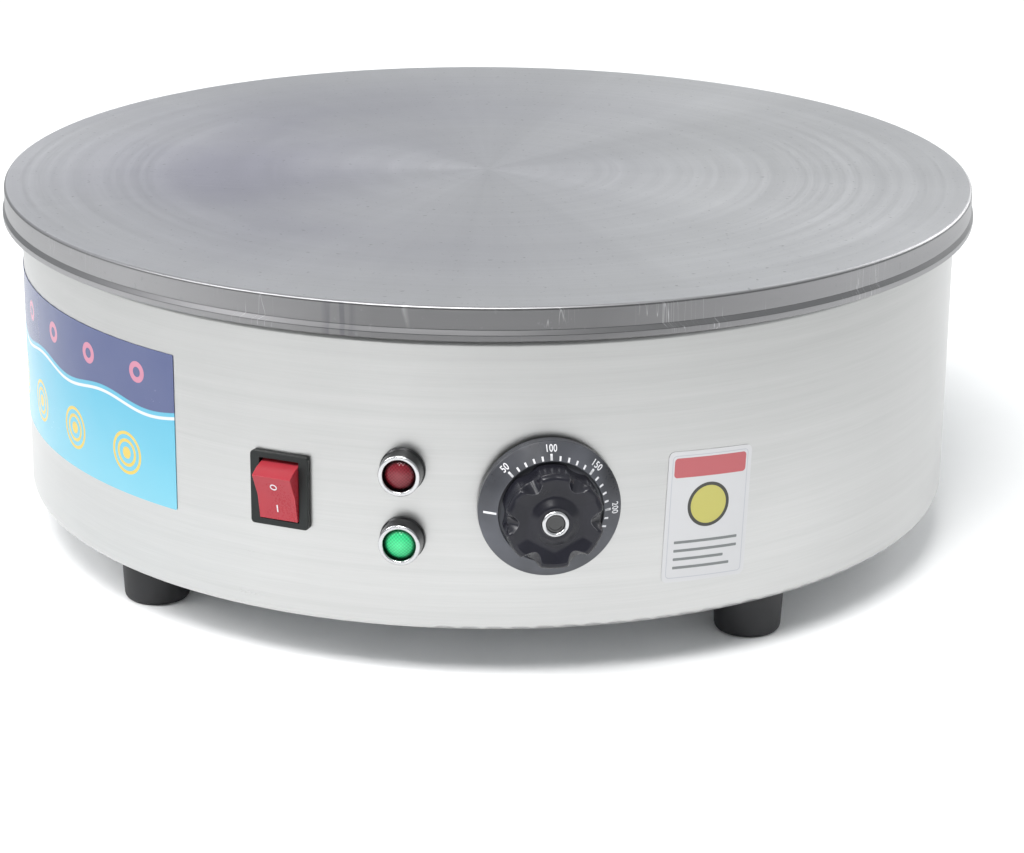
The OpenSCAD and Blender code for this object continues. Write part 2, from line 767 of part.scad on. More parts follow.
// A rubber foot, tapered, with a well for its screw
module rubber_feet() {
    well_in_foot_r = foot_washer_r + slip;
    color("black") at_feet() difference() {
        rotate_extrude() {
            polygon([
                [0, 0], [foot_low_r - foot_edge_r, 0], [foot_low_r - foot_edge_r, foot_edge_r],
                [foot_low_r, foot_edge_r], [foot_top_r, foot_h], [0, foot_h]
            ]);
            translate([foot_low_r - foot_edge_r, foot_edge_r]) circle(r = foot_edge_r, $fn = 48);
        }
        translate([0, 0, -past]) cylinder(r = well_in_foot_r, h = foot_seat_h + past);
        translate([0, 0, -past]) cylinder(r = foot_screw_r + slip, h = foot_h + 2 * past);
    }
}
module foot_washers() {
    color("gainsboro") at_feet() translate([0, 0, foot_seat_h - washer_t])
        washer(foot_washer_r, foot_screw_r + thread, washer_t);
}
module foot_screws() {
    head_r = 4.6;
    head_h = 3.2;
    head_top = foot_seat_h - washer_t;
    color("lightgray") at_feet() {
        translate([0, 0, head_top - head_h]) cylinder(r = head_r, h = head_h);
        translate([0, 0, head_top])
            cylinder(r = foot_screw_r, h = cover_top + small_nut_t + nut_past - head_top);
    }
}
module foot_nuts() {
    color("lightgray") at_feet() translate([0, 0, cover_top])
        nut(small_hex_d, foot_screw_r + thread, small_nut_t);
}

// The switch: housing, rocker with two sprung plungers, two see-saw bridges and four terminals
module rounded_box(w, h, r) {
    square([w - 2 * r, h], center = true);
    square([w, h - 2 * r], center = true);
    for (x = [-1, 1], y = [-1, 1]) translate([x * (w / 2 - r), y * (h / 2 - r)]) circle(r = r, $fn = 32);
}
module at_switch() { at_wall(switch_az, control_z) children(); }
module switch_housing() {
    color("black") at_switch() difference() {
        union() {
            translate([0, 0, seat]) linear_extrude(height = bezel_t - seat)
                rounded_box(bezel_w, bezel_h, 1.5);
            translate([0, 0, -switch_depth]) block([housing_w, housing_h, switch_depth + bezel_t / 2]);
        }
        translate([0, 0, -pocket_floor]) block([pocket_w, 2 * pocket_half, pocket_floor + bezel_t + past]);
        translate([0, 0, pivot_z]) rotate([0, 90, 0])
            cylinder(r = pivot_pin_r + running, h = pocket_w + 2 * pivot_pin_len + 2 * seat, center = true);
        for (x = [-pole_x, pole_x], y = [0, contact_y]) translate([x, y, -switch_depth - past])
            block([bridge_w + 2 * seat, tab_t + 2 * seat, switch_depth - pocket_floor + 2 * past]);
    }
}
module switch_rocker() {
    belly = [
        [-rocker_half, rocker_rise], [0, rocker_rise - 1.2], [rocker_half, rocker_rise],
        [rocker_half + 0.8, 3], [rocker_half + 0.6, -rocker_belly], [-rocker_half - 0.6, -rocker_belly],
        [-rocker_half - 0.8, 3]
    ];
    color("firebrick") at_switch() translate([0, 0, pivot_z]) rotate([rocker_tilt, 0, 0]) difference() {
        union() {
            rotate([90, 0, 90]) translate([0, 0, -rocker_w / 2])
                linear_extrude(height = rocker_w) polygon(belly);
            rotate([0, 90, 0]) cylinder(r = pivot_pin_r, h = pocket_w + 2 * pivot_pin_len, center = true);
            for (x = [-pole_x, pole_x]) translate([x, 0, -stem_len]) block([stem_w, stem_w, stem_len]);
        }
        for (x = [-pole_x, pole_x]) translate([x, 0, -stem_len - past])
            cylinder(r = plunger_r + thread, h = stem_len + past, $fn = 32);
    }
}
module switch_plungers() {
    color("gainsboro") at_switch() translate([0, 0, pivot_z]) rotate([rocker_tilt, 0, 0])
        for (x = [-pole_x, pole_x]) translate([x, 0, -plunger_tip]) {
            sphere(r = plunger_r, $fn = 32);
            cylinder(r = plunger_r, h = plunger_tip - seat, $fn = 32);
        }
}
module switch_bridges() {
    color("goldenrod") at_switch() for (x = [-pole_x, pole_x])
        translate([x, 0, bridge_pivot_z]) rotate([-bridge_tilt, 0, 0]) {
            block([bridge_w, 2 * bridge_half, bridge_t]);
            rotate([0, 90, 0]) cylinder(r = knuckle_r, h = bridge_w - 2 * seat, center = true);
        }
}
module switch_terminals() {
    // The contact's top stays clear of the bridge at both ends of its travel
    contact_z = bridge_pivot_z - (contact_y + tab_t) * tan(bridge_tilt) - room;
    tab_end = -switch_depth - tab_len;
    rest_z = bridge_pivot_z - knuckle_r - room;
    color("gold") at_switch() for (x = [-pole_x, pole_x]) {
        translate([x, 0, tab_end]) block([bridge_w, tab_t, rest_z - tab_end]);
        translate([x, contact_y, tab_end]) block([bridge_w, tab_t, contact_z - tab_end]);
    }
}

// The lamps: a chrome bezel with a lens in it, and a threaded barrel that holds a small neon bulb
module at_lamps() {
    for (z = [red_lamp_z, green_lamp_z]) at_wall(lamp_az, z) children();
}
module lamp_bezels() {
    lip = 0.5;
    color("whitesmoke") at_lamps() rotate_extrude() difference() {
        polygon([
            [barrel_r + seat, seat], [lamp_r, seat], [lamp_r, seat + 1], [lamp_front_r + 0.3, 1.8],
            [lamp_front_r, lamp_reach - lip], [lamp_front_r - lip, lamp_reach],
            [lens_r + seat + lip, lamp_reach], [lens_r + seat, lamp_reach - lip],
            [lens_r + seat, bezel_floor + seat], [barrel_r + seat, bezel_floor + seat]
        ]);
    }
}
module lens() {
    edge_z = lamp_reach - 2.2;
    dome_r = 9;
    dome_low = sqrt(dome_r * dome_r - lens_r * lens_r);
    translate([0, 0, bezel_floor + 2 * seat]) cylinder(r = lens_r, h = edge_z - bezel_floor - 2 * seat);
    translate([0, 0, edge_z - dome_low]) intersection() {
        sphere(r = dome_r);
        translate([0, 0, dome_low]) cylinder(r = lens_r, h = dome_r);
    }
}
module red_lens() { color("darkred") at_wall(lamp_az, red_lamp_z) lens(); }
module green_lens() { color("limegreen") at_wall(lamp_az, green_lamp_z) lens(); }
module lamp_bodies() {
    color("ivory") at_lamps() difference() {
        translate([0, 0, -barrel_len]) cylinder(r = barrel_r, h = barrel_len + bezel_floor + seat);
        translate([0, 0, barrel_cap - barrel_len])
            cylinder(r = barrel_bore_r, h = barrel_len + past);
        for (x = [-lamp_tab_x, lamp_tab_x]) translate([x, 0, -barrel_len - past])
            block([lamp_tab_w + 2 * seat, tab_t + 2 * seat, barrel_cap + 2 * past]);
    }
}
module lamp_bulbs() {
    bulb_low = barrel_cap + 3 - barrel_len;
    glass_h = 10;
    color("lightyellow") at_lamps() {
        translate([0, 0, bulb_low]) cylinder(r = bulb_glass_r, h = glass_h, $fn = 32);
        translate([0, 0, bulb_low + glass_h]) sphere(r = bulb_glass_r, $fn = 32);
    }
}
module lamp_terminals() {
    color("gold") at_lamps() for (x = [-lamp_tab_x, lamp_tab_x])
        translate([x, 0, lamp_tab_end]) block([lamp_tab_w, tab_t, tab_len - seat]);
}
module lamp_nuts() {
    color("lightgray") at_lamps() translate([0, 0, -behind_wall(lamp_nut_d / 2) - lamp_nut_t])
        nut(lamp_nut_d, barrel_r + thread, lamp_nut_t);
}

// The thermostat behind the knob: body, flange, two screws, two tabs and the turning shaft
module at_knob() { at_wall(knob_az, control_z) children(); }
module thermostat_body() {
    color("saddlebrown") at_knob() difference() {
        translate([0, 0, -thermo_back]) block([thermo_w, thermo_h, thermo_d]);
        translate([0, 0, -thermo_front - shaft_root - seat])
            cylinder(r = shaft_r + running, h = shaft_root + past);
        for (y = [-mount_half, mount_half]) translate([0, y, -thermo_front - mount_screw_root - seat])
            cylinder(r = mount_screw_r + thread, h = mount_screw_root + seat + past);
        for (x = [-thermo_tab_x, thermo_tab_x]) translate([x, 0, -thermo_back - past])
            block([tab_t + 2 * seat, tab_w + 2 * seat, tab_root + past]);
    }
}
module thermostat_flange() {
    color("lightgray") at_knob() difference() {
        translate([0, 0, -thermo_front]) block([2 * flange_half_w, 2 * flange_half_h, flange_t]);
        translate([0, 0, -thermo_front - past]) {
            cylinder(r = shaft_r + 1, h = flange_t + 2 * past);
            for (y = [-mount_half, mount_half]) translate([0, y, 0])
                cylinder(r = mount_screw_r + thread, h = flange_t + 2 * past);
        }
    }
}
module thermostat_screws() {
    head_r = 3.8;
    head_h = 2.2;
    color("gainsboro") at_knob() for (y = [-mount_half, mount_half]) translate([0, y, 0]) {
        translate([0, 0, seat]) cylinder(r = head_r, h = head_h);
        translate([0, 0, -thermo_front - mount_screw_root])
            cylinder(r = mount_screw_r, h = thermo_front + mount_screw_root + 2 * seat);
    }
}
module thermostat_terminals() {
    color("gold") at_knob() for (x = [-thermo_tab_x, thermo_tab_x])
        translate([x, 0, -thermo_back - tab_len]) block([tab_t, tab_w, tab_len + tab_root - seat]);
}
// A round shaft with a flat, grown or shrunk by a clearance
module flatted(r, flat, h) {
    intersection() {
        cylinder(r = r, h = h);
        translate([-2 * r, -2 * r, 0]) cube([4 * r, 2 * r + flat, h]);
    }
}
module thermostat_shaft() {
    color("lightgray") at_knob() {
        translate([0, 0, -thermo_front - shaft_root])
            cylinder(r = shaft_r, h = thermo_front + shaft_root + seat);
        flatted(shaft_r, shaft_flat, shaft_tip);
    }
}

// The knob: a skirt with the scale, a grip pressed on the shaft, and a chrome ring round a black disc
module dial_skirt() {
    lip_edge = 0.5;
    slope_r = skirt_r - 0.3;
    color("dimgray") at_knob() rotate_extrude() difference() {
        polygon([
            [hub_r + seat, skirt_gap + 2], [skirt_r - skirt_t, skirt_gap], [skirt_r, skirt_gap],
            [skirt_r, lip_top - lip_edge], [slope_r, lip_top], [well_r, well_top],
            [well_r, well_floor], [hub_r + seat, well_floor]
        ]);
        polygon([
            [hub_r - past, 0], [skirt_r - skirt_t, 0], [skirt_r - skirt_t, lip_top - lip_edge],
            [well_r - skirt_t, well_floor - skirt_t], [hub_r - past, well_floor - skirt_t]
        ]);
    }
}
// The dish on the grip's face: six slopes that fall from its rim to the boss
module dish() {
    rim_r = grip_r - 1.6;
    low_z = grip_front - dish_d;
    intersection_for (k = [0 : bite_count / 2 - 1]) rotate([0, 0, 180 + k * 360 / bite_count])
        rotate([90, 0, 0]) translate([0, 0, -30]) linear_extrude(height = 60) polygon([
            [-boss_r, low_z], [boss_r, low_z], [rim_r, grip_front], [rim_r + 4, grip_front + 1.2],
            [-rim_r - 4, grip_front + 1.2], [-rim_r, grip_front]
        ]);
}
module knob_grip() {
    bite_mid = grip_r + bite_r - bite_d;
    face_edge = 0.6;
    color("black") at_knob() difference() {
        union() {
            difference() {
                rotate_extrude() polygon([
                    [0, well_floor], [grip_r, well_floor], [grip_r, grip_front - face_edge],
                    [grip_r - face_edge, grip_front], [0, grip_front]
                ]);
                dish();
            }
            translate([0, 0, grip_front - dish_d - 0.5])
                cylinder(r1 = boss_r, r2 = cap_r + 1.2, h = dish_d + 0.5);
            translate([0, 0, hub_back]) cylinder(r = hub_r, h = well_floor - hub_back + 0.5);
        }
        for (k = [0 : bite_count - 1]) rotate([0, 0, k * 360 / bite_count])
            translate([bite_mid, 0, well_floor - past])
                cylinder(r = bite_r, h = grip_front - well_floor + 2 * past);
        translate([0, 0, hub_back - past])
            flatted(shaft_r + running, shaft_flat + running, shaft_tip + room - hub_back + past);
        translate([0, 0, cap_z]) cylinder(r = cap_r + thread, h = 2 * cap_t);
    }
}
module knob_cap_ring() {
    band = cap_r - disc_r - thread;
    color("whitesmoke") at_knob() translate([0, 0, cap_z]) rotate_extrude() {
        translate([cap_r - band, 0]) square([band, cap_t - band / 2]);
        translate([cap_r - band / 2, cap_t - band / 2]) circle(r = band / 2, $fn = 32);
    }
}
module knob_cap_disc() {
    color("black") at_knob() translate([0, 0, cap_z]) cylinder(r = disc_r, h = cap_t - 0.8);
}

// The gland at the back: body, rubber seal, cap and, inside the drum, a lock nut
module at_gland() { at_wall(gland_az, gland_z) children(); }
module gland_body() {
    color("black") at_gland() difference() {
        union() {
            translate([0, 0, seat]) hexagon(gland_hex_d, gland_flange_t - seat);
            translate([0, 0, -spigot_len]) cylinder(r = gland_thread_r, h = spigot_len + gland_flange_t / 2);
            cylinder(r = collet_r, h = collet_top);
        }
        translate([0, 0, -spigot_len - past]) cylinder(r = lead_r + 1, h = spigot_len + gland_reach);
        translate([0, 0, collet_top - seal_len]) cylinder(r = seal_r, h = seal_len + past);
    }
}
module gland_seal() {
    color("dimgray") at_gland() translate([0, 0, collet_top - seal_len])
        washer(seal_r - seat, lead_r, seal_len);
}
module gland_cap() {
    edge = 2;
    cap_low = gland_flange_t + 0.5;
    inner_r = collet_r + seat;
    color("black") at_gland() difference() {
        intersection() {
            translate([0, 0, cap_low]) hexagon(gland_hex_d - 2, gland_reach - cap_low);
            rotate_extrude() polygon([
                [0, cap_low], [gland_hex_d / 2 - 1, cap_low], [gland_hex_d / 2 - 1, gland_reach - 3 * edge],
                [gland_hex_d / 2 - 1 - edge, gland_reach - edge], [lead_r + 3, gland_reach], [0, gland_reach]
            ]);
        }
        translate([0, 0, cap_low - past]) cylinder(r = inner_r, h = collet_top + seat - cap_low + past);
        cylinder(r = lead_r + 0.5, h = gland_reach + past);
    }
}
module gland_locknut() {
    color("dimgray") at_gland() translate([0, 0, -locknut_face - locknut_t])
        nut(gland_hex_d, gland_thread_r + thread, locknut_t);
}

// The terminal block on the base cover: each pole is a bore along Y with a clamp screw over each end
function pole_x_at(k) = (k - (pole_count - 1) / 2) * pole_pitch;
module at_block_screws() {
    for (x = [-1, 1]) translate([x * (block_w / 2 - pole_pitch), block_y + block_d / 2, 0]) children();
}
module terminal_block() {
    color("ivory") difference() {
        translate([0, block_y + block_d / 2, cover_top]) block([block_w, block_d, block_h]);
        for (k = [0 : pole_count - 1]) translate([pole_x_at(k), block_y, 0]) {
            translate([0, -past, pole_z]) rotate([-90, 0, 0])
                cylinder(r = pole_bore_r, h = block_d + 2 * past);
            for (y = [screw_inset, block_d - screw_inset]) translate([0, y, pole_z])
                cylinder(r = clamp_screw_r + thread, h = block_h);
        }
        at_block_screws() translate([0, 0, cover_top - past])
            cylinder(r = base_screw_r + thread, h = block_screw_len + 2 * past);
    }
}
module block_screws() {
    color("gainsboro") at_block_screws() cover_screw(block_screw_len);
}
module terminal_screws() {
    tip_z = pole_z + pole_bore_r / 2 + seat;
    slot_depth = 0.8;
    screw_h = cover_top + block_h - tip_z - 1;
    color("goldenrod") for (k = [0 : pole_count - 1], y = [screw_inset, block_d - screw_inset])
        translate([pole_x_at(k), block_y + y, tip_z]) difference() {
            cylinder(r = clamp_screw_r, h = screw_h);
            translate([0, 0, screw_h - slot_depth]) block([4 * clamp_screw_r, 0.6, past]);
        }
}
module earth_stud() {
    color("lightgray") translate([earth_x, earth_y, cover_top])
        cylinder(r = earth_stud_r, h = 2 * small_nut_t + tag_t + nut_past + 3);
}
module earth_nuts() {
    color("lightgray") for (z = [cover_top, tag_z + tag_t]) translate([earth_x, earth_y, z])
        nut(small_hex_d, earth_stud_r + thread, small_nut_t);
}

// The wires inside the drum. Each runs straight out of its terminal and follows the points between
function switch_tab(x, y, out) = on_wall(switch_az, control_z, [x, y, -switch_depth - tab_len - out]);
function thermo_tab(x, out) = on_wall(knob_az, control_z, [x, 0, -thermo_back - tab_len - out]);
function block_end(k, out, x = 0) = [pole_x_at(k) + x, block_y + screw_inset - out, pole_z];
function link_end(side, drop) = [side * leg_half, link_y, link_low - drop];
module live_leads() {
    color("brown") {
        wire(concat([block_end(0, 0), block_end(0, block_run)], live_route,
            [switch_tab(-pole_x, 0, switch_run), switch_tab(-pole_x, 0, 0)]), wire_r);
        wire([switch_tab(pole_x, contact_y, 0), switch_tab(pole_x, contact_y, contact_run),
            each switched_route, thermo_tab(-thermo_tab_x, thermo_run), thermo_tab(-thermo_tab_x, 0)],
            wire_r);
        wire([thermo_tab(thermo_tab_x, 0), thermo_tab(thermo_tab_x, thermo_run), each heating_route,
            link_end(1, link_run), link_end(1, 0)], wire_r);
    }
}
module neutral_leads() {
    color("royalblue") {
        wire([block_end(1, 0), block_end(1, block_run), each neutral_route,
            switch_tab(pole_x, 0, switch_run), switch_tab(pole_x, 0, 0)], wire_r);
        wire([switch_tab(-pole_x, contact_y, 0), switch_tab(-pole_x, contact_y, contact_run),
            each return_route, link_end(-1, link_run), link_end(-1, 0)], wire_r);
    }
}
module earth_lead() {
    end = [earth_x, earth_y - tag_r + tag_lap, tag_z + tag_t / 2];
    color("limegreen") {
        wire([block_end(2, 0), block_end(2, block_run), each earth_route, end - [0, earth_run, 0], end],
            wire_r);
        translate([earth_x, earth_y, tag_z]) washer(tag_r, earth_stud_r + thread, tag_t);
    }
}
module lamp_leads() {
    color("dimgray") for (lamp = [0, 1], side = [-1, 1]) {
        z = lamp == 0 ? red_lamp_z : green_lamp_z;
        pole = side < 0 ? 3 : 4;
        offset = lamp == 0 ? -lamp_pair_x : lamp_pair_x;
        wire([on_wall(lamp_az, z, [side * lamp_tab_x, 0, lamp_tab_end]),
            on_wall(lamp_az, z, [side * lamp_tab_x, 0, lamp_tab_end - lamp_run]),
            for (p = lamp_route) p + [side * lamp_side_x + offset, 0, 0] + lamp * lamp_step,
            block_end(pole, block_run, offset), block_end(pole, 0, offset)], lamp_wire_r, 6);
    }
}

// The printed foils, curved with the drum
module foil_ring(z, h) {
    rotate_extrude() translate([shell_r + seat / 2, z]) square([foil_t, h]);
}
module side_sticker() {
    color("teal") rotate([0, 0, -90 + sticker_edge_az - sticker_span]) rotate_extrude(angle = sticker_span)
        translate([shell_r + seat / 2, sticker_low_z]) square([foil_t, sticker_h]);
}
module front_label() {
    corner_r = 2.5;
    color("white") intersection() {
        foil_ring(label_z - label_h, 2 * label_h);
        at_wall(label_az, label_z) rotate([0, 0, label_turn]) translate([0, 0, -5])
            linear_extrude(height = 10) rounded_box(label_w, label_h, corner_r);
    }
}

griddle_plate();
rim_gasket();
drum_shell();
seam_rivets();
plate_bolts();
plate_washers();
outer_element();
middle_element();
inner_element();
element_beads();
element_links();
element_clamp();
insulation_pad();
heat_shield();
clamp_studs();
clamp_nuts();
clamp_washers();
sensor_bulb();
base_cover();
base_screws();
rubber_feet();
foot_screws();
foot_washers();
foot_nuts();
switch_housing();
switch_rocker();
switch_plungers();
switch_bridges();
switch_terminals();
lamp_bezels();
red_lens();
green_lens();
lamp_bodies();
lamp_nuts();
lamp_terminals();
lamp_bulbs();
thermostat_body();
thermostat_flange();
thermostat_screws();
thermostat_terminals();
thermostat_shaft();
dial_skirt();
knob_grip();
knob_cap_ring();
knob_cap_disc();
gland_body();
gland_seal();
gland_cap();
gland_locknut();
terminal_block();
terminal_screws();
block_screws();
earth_stud();
earth_nuts();
live_leads();
neutral_leads();
earth_lead();
lamp_leads();
side_sticker();
front_label();
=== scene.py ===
"""Looks of a round electric griddle: a turned plate on a steel drum, with switch, lamps and knob.

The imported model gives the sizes, places and moving bodies. Each class below dresses one sub-assembly: it
gives a finish to the solids that stay, and makes finer pieces for those that are seen up close. Sizes are
in millimetres in the classes, and turn into metres where a mesh or a node is made.
"""
import json
import logging
import math
from collections.abc import Callable, Iterable
from dataclasses import dataclass
from enum import Enum
from functools import cache

import bmesh
import bpy
from mathutils import Matrix, Vector


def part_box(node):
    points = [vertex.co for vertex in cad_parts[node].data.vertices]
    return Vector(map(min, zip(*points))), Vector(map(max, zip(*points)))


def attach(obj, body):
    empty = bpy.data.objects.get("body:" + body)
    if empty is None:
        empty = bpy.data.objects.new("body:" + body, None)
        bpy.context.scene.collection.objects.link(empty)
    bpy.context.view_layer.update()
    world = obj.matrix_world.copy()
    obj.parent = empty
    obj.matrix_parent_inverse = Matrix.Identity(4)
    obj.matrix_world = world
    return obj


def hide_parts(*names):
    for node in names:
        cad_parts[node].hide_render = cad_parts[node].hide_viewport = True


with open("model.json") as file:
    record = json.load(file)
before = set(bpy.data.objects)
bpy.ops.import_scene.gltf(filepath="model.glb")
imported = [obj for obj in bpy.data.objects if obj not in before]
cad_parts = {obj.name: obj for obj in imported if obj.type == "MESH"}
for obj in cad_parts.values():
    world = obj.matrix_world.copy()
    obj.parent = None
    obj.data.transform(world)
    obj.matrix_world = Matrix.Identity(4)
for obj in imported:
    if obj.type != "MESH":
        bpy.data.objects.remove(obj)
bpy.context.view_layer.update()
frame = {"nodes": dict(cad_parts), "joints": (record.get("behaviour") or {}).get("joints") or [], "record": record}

log = logging.getLogger("griddle")

MM = 0.001
SAME_SPOT = 1e-6
FROM_MIDDLE = "from_middle"
SLOTS = {part["node"]: part["material_slot"] for part in frame["record"]["subparts"]}
Flat = tuple[float, float]
Triple = tuple[float, float, float]
Colour = Triple
Outline = list[Triple]
Object = bpy.types.Object
Tree = bpy.types.NodeTree
Shape = bmesh.types.BMesh
Ring = list[bmesh.types.BMVert]


class Body(Enum):
    """The bodies that carry finer pieces."""

    CASING = "casing"
    KNOB = "knob"
    ROCKER = "rocker"


class Glow(Enum):
    """Whether a lamp's lens is lit, and how strongly it then glows."""

    DARK = 0.0
    LIT = 0.4


class Brushing(Enum):
    """The way in which a metal surface was brushed, as how much finer its strokes are along each axis."""

    ROUND_THE_DRUM = (1.0, 1.0, 70.0)
    ALONG_THE_SHEET = (1.0, 60.0, 1.0)


@dataclass(frozen=True, eq=False)
class Wire:
    """A node's output; arithmetic on it places Math nodes."""

    net: "Net"
    socket: bpy.types.NodeSocket

    def __add__(self, other: object) -> "Wire":
        """Adds."""
        return self.net.calc("ADD", self, other)

    def __sub__(self, other: object) -> "Wire":
        """Subtracts."""
        return self.net.calc("SUBTRACT", self, other)

    def __rsub__(self, other: float) -> "Wire":
        """Subtracts from a number."""
        return self.net.calc("SUBTRACT", other, self)

    def __mul__(self, other: object) -> "Wire":
        """Multiplies."""
        return self.net.calc("MULTIPLY", self, other)

    def __truediv__(self, other: object) -> "Wire":
        """Divides."""
        return self.net.calc("DIVIDE", self, other)

    def __rtruediv__(self, other: float) -> "Wire":
        """Divides a number."""
        return self.net.calc("DIVIDE", other, self)

    def __abs__(self) -> "Wire":
        """Drops the sign."""
        return self.net.calc("ABSOLUTE", self)

    def span(self, low: float, high: float, to_low: float = 0.0, to_high: float = 1.0) -> "Wire":
        """Maps a value from one span to another, held within it.

        Args:
            low: The value that gives to_low.
            high: The value that gives to_high.
            to_low: The result at the low end.
            to_high: The result at the high end.

        Returns:
            The result.
        """
        return self.net.get("ShaderNodeMapRange", {0: self, 1: low, 2: high, 3: to_low, 4: to_high})


Surface = tuple[Wire, Wire | float, Wire]


class Net:
    """Places nodes in a node tree and joins their sockets."""

    KINDS = {int: "Int", float: "Float", tuple: "Vector",
             "VALUE": "Float", "VECTOR": "Vector", "GEOMETRY": "Geometry"}

    def __init__(self, tree: Tree) -> None:
        """Starts on a tree, which is emptied."""
        self.tree = tree
        tree.nodes.clear()

    @classmethod
    def group(cls, name: str, takes: dict[str, object], kind: str = "ShaderNodeTree"
              ) -> tuple["Net", dict[str, Wire]]:
        """Starts a node group with named inputs.

        Args:
            name: The group's name.
            takes: Its inputs' names, each with its usual value, or with the kind of socket.
            kind: A shader tree or a geometry tree.

        Returns:
            The net to build it with, and its inputs by name.
        """
        net = cls(bpy.data.node_groups.new(name, kind))
        for label, value in takes.items():
            sort = value if isinstance(value, str) else cls.KINDS[type(value)]
            socket = net.tree.interface.new_socket(label, in_out="INPUT", socket_type="NodeSocket" + sort)
            if not isinstance(value, str):
                socket.default_value = value
        entry = net.put("NodeGroupInput")
        return net, {label: Wire(net, entry.outputs[label]) for label in takes}

    def close(self, **results: Wire) -> Tree:
        """Ends a node group with named outputs.

        Args:
            results: What each output gives.

        Returns:
            The group's tree.
        """
        for label, wire in results.items():
            sort = "NodeSocket" + self.KINDS[wire.socket.type]
            self.tree.interface.new_socket(label, in_out="OUTPUT", socket_type=sort)
        self.put("NodeGroupOutput", results)
        return self.tree

    def put(self, kind: str, inputs: dict | None = None, **settings: object) -> bpy.types.Node:
        """Places one node.

        Args:
            kind: The node's type name.
            inputs: What goes into its sockets by name or number: a wire, or a plain value.
            settings: The node's own properties.

        Returns:
            The node.
        """
        node = self.tree.nodes.new(kind)
        for key, value in settings.items():
            setattr(node, key, value)
        for key, value in (inputs or {}).items():
            if isinstance(value, Wire):
                self.tree.links.new(value.socket, node.inputs[key])
            else:
                node.inputs[key].default_value = value
        return node

    def get(self, kind: str, inputs: dict | None = None, output: int | str = 0, **settings: object) -> Wire:
        """Places one node, as put does, and gives its output of a name or number."""
        return Wire(self, self.put(kind, inputs, **settings).outputs[output])

    def effect(self, tree: Tree, inputs: dict[str, object]) -> dict[str, Wire]:
        """Places a node group and gives its outputs by name."""
        outputs = self.put("ShaderNodeGroup", inputs, node_tree=tree).outputs
        return {socket.name: Wire(self, socket) for socket in outputs}

    def calc(self, operation: str, *terms: object) -> Wire:
        """Places a Math node on wires or numbers."""
        return self.get("ShaderNodeMath", dict(enumerate(terms)), operation=operation)

    def vector(self, operation: str, *terms: object, output: str = "Vector") -> Wire:
        """Places a Vector Math node on wires or vectors."""
        return self.get("ShaderNodeVectorMath", dict(enumerate(terms)), output, operation=operation)

    def blend(self, share: object, first: object, second: object) -> Wire:
        """Mixes two colours.

        Args:
            share: How much of the second shows.
            first: A colour or its wire.
            second: A colour or its wire.

        Returns:
            The mixed colour.
        """
        pair = [colour if isinstance(colour, Wire) else (*colour, 1.0) for colour in (first, second)]
        return self.get("ShaderNodeMix", {0: share, 6: pair[0], 7: pair[1]}, 2, data_type="RGBA")

    def noise(self, where: Wire, scale: object, detail: float = 3.0, stretch: Triple | None = None) -> Wire:
        """Places a noise pattern.

        Args:
            where: The coordinates.
            scale: Waves per metre.
            detail: Finer layers on top of the first.
            stretch: How many times finer it is along each axis.

        Returns:
            The pattern, 0 to 1.
        """
        if stretch:
            where = self.get("ShaderNodeMapping", {"Vector": where, "Scale": stretch})
        return self.get("ShaderNodeTexNoise", {"Vector": where, "Scale": scale, "Detail": detail})

    def place(self) -> Wire:
        """Gives the piece's own coordinates in metres."""
        return self.get("ShaderNodeTexCoord", output="Object")

    def facing(self) -> Wire:
        """Gives the surface's own normal."""
        return self.get("ShaderNodeNewGeometry", output="Normal")

    def split(self, vector: Wire) -> list[Wire]:
        """Gives a vector's three parts."""
        return [Wire(self, part) for part in self.put("ShaderNodeSeparateXYZ", {0: vector}).outputs]

    def join(self, x: object, y: object, z: object) -> Wire:
        """Makes a vector of three parts."""
        return self.get("ShaderNodeCombineXYZ", {0: x, 1: y, 2: z})

    def length(self, x: Wire, y: Wire) -> Wire:
        """Gives how far a point is from the origin."""
        return self.calc("SQRT", x * x + y * y)

    def solid(self, geometry: Wire, finish: Wire) -> Wire:
        """Ends a tree of geometry: the instances made real, then the material set."""
        real = self.get("GeometryNodeRealizeInstances", {"Geometry": geometry})
        return self.get("GeometryNodeSetMaterial", {"Geometry": real, "Material": finish})

    def bump(self, height: Wire, depth: float, normal: Wire | None = None) -> Wire:
        """Turns a height into a normal.

        Args:
            height: The height, 0 to 1.
            depth: What a height of 1 stands for, in metres.
            normal: A normal to build on.

        Returns:
            The normal.
        """
        inputs = {"Height": height, "Distance": depth, "Strength": 1.0}
        return self.get("ShaderNodeBump", inputs if normal is None else {**inputs, "Normal": normal})


@cache
def edge_wear() -> Tree:
    """Builds the mask of edges that are rubbed bright, in patches.

    Returns:
        The group's tree.
    """
    net, given = Net.group("edge_wear", {"Reach": 0.4 * MM, "Patch scale": 90.0, "Amount": 0.5})
    rounded = net.get("ShaderNodeBevel", {"Radius": given["Reach"]}, samples=4)
    edge = net.vector("DOT_PRODUCT", rounded, net.facing(), output="Value").span(0.985, 0.86)
    patches = net.noise(net.place(), given["Patch scale"], 2.0).span(0.35, 0.65, 0.25, 1.0)
    return net.close(Worn=edge * patches * given["Amount"])


@cache
def grain() -> Tree:
    """Builds the fine grain of a surface: its height, its roughness and a slow change of shade.

    Returns:
        The group's tree.
    """
    net, given = Net.group("grain", {"Size": 0.5 * MM, "Roughness": 0.5, "Spread": 0.1})
    where, size = net.place(), given["Size"]
    fine, broad = net.noise(where, 1.0 / size, 2.0), net.noise(where, 0.025 / size, 4.0)
    mixed = fine * 0.4 + broad * 0.6
    rough = given["Roughness"] + (mixed - 0.5) * (given["Spread"] * 2.0)
    return net.close(Height=fine, Roughness=rough, Shade=broad.span(0.3, 0.7))


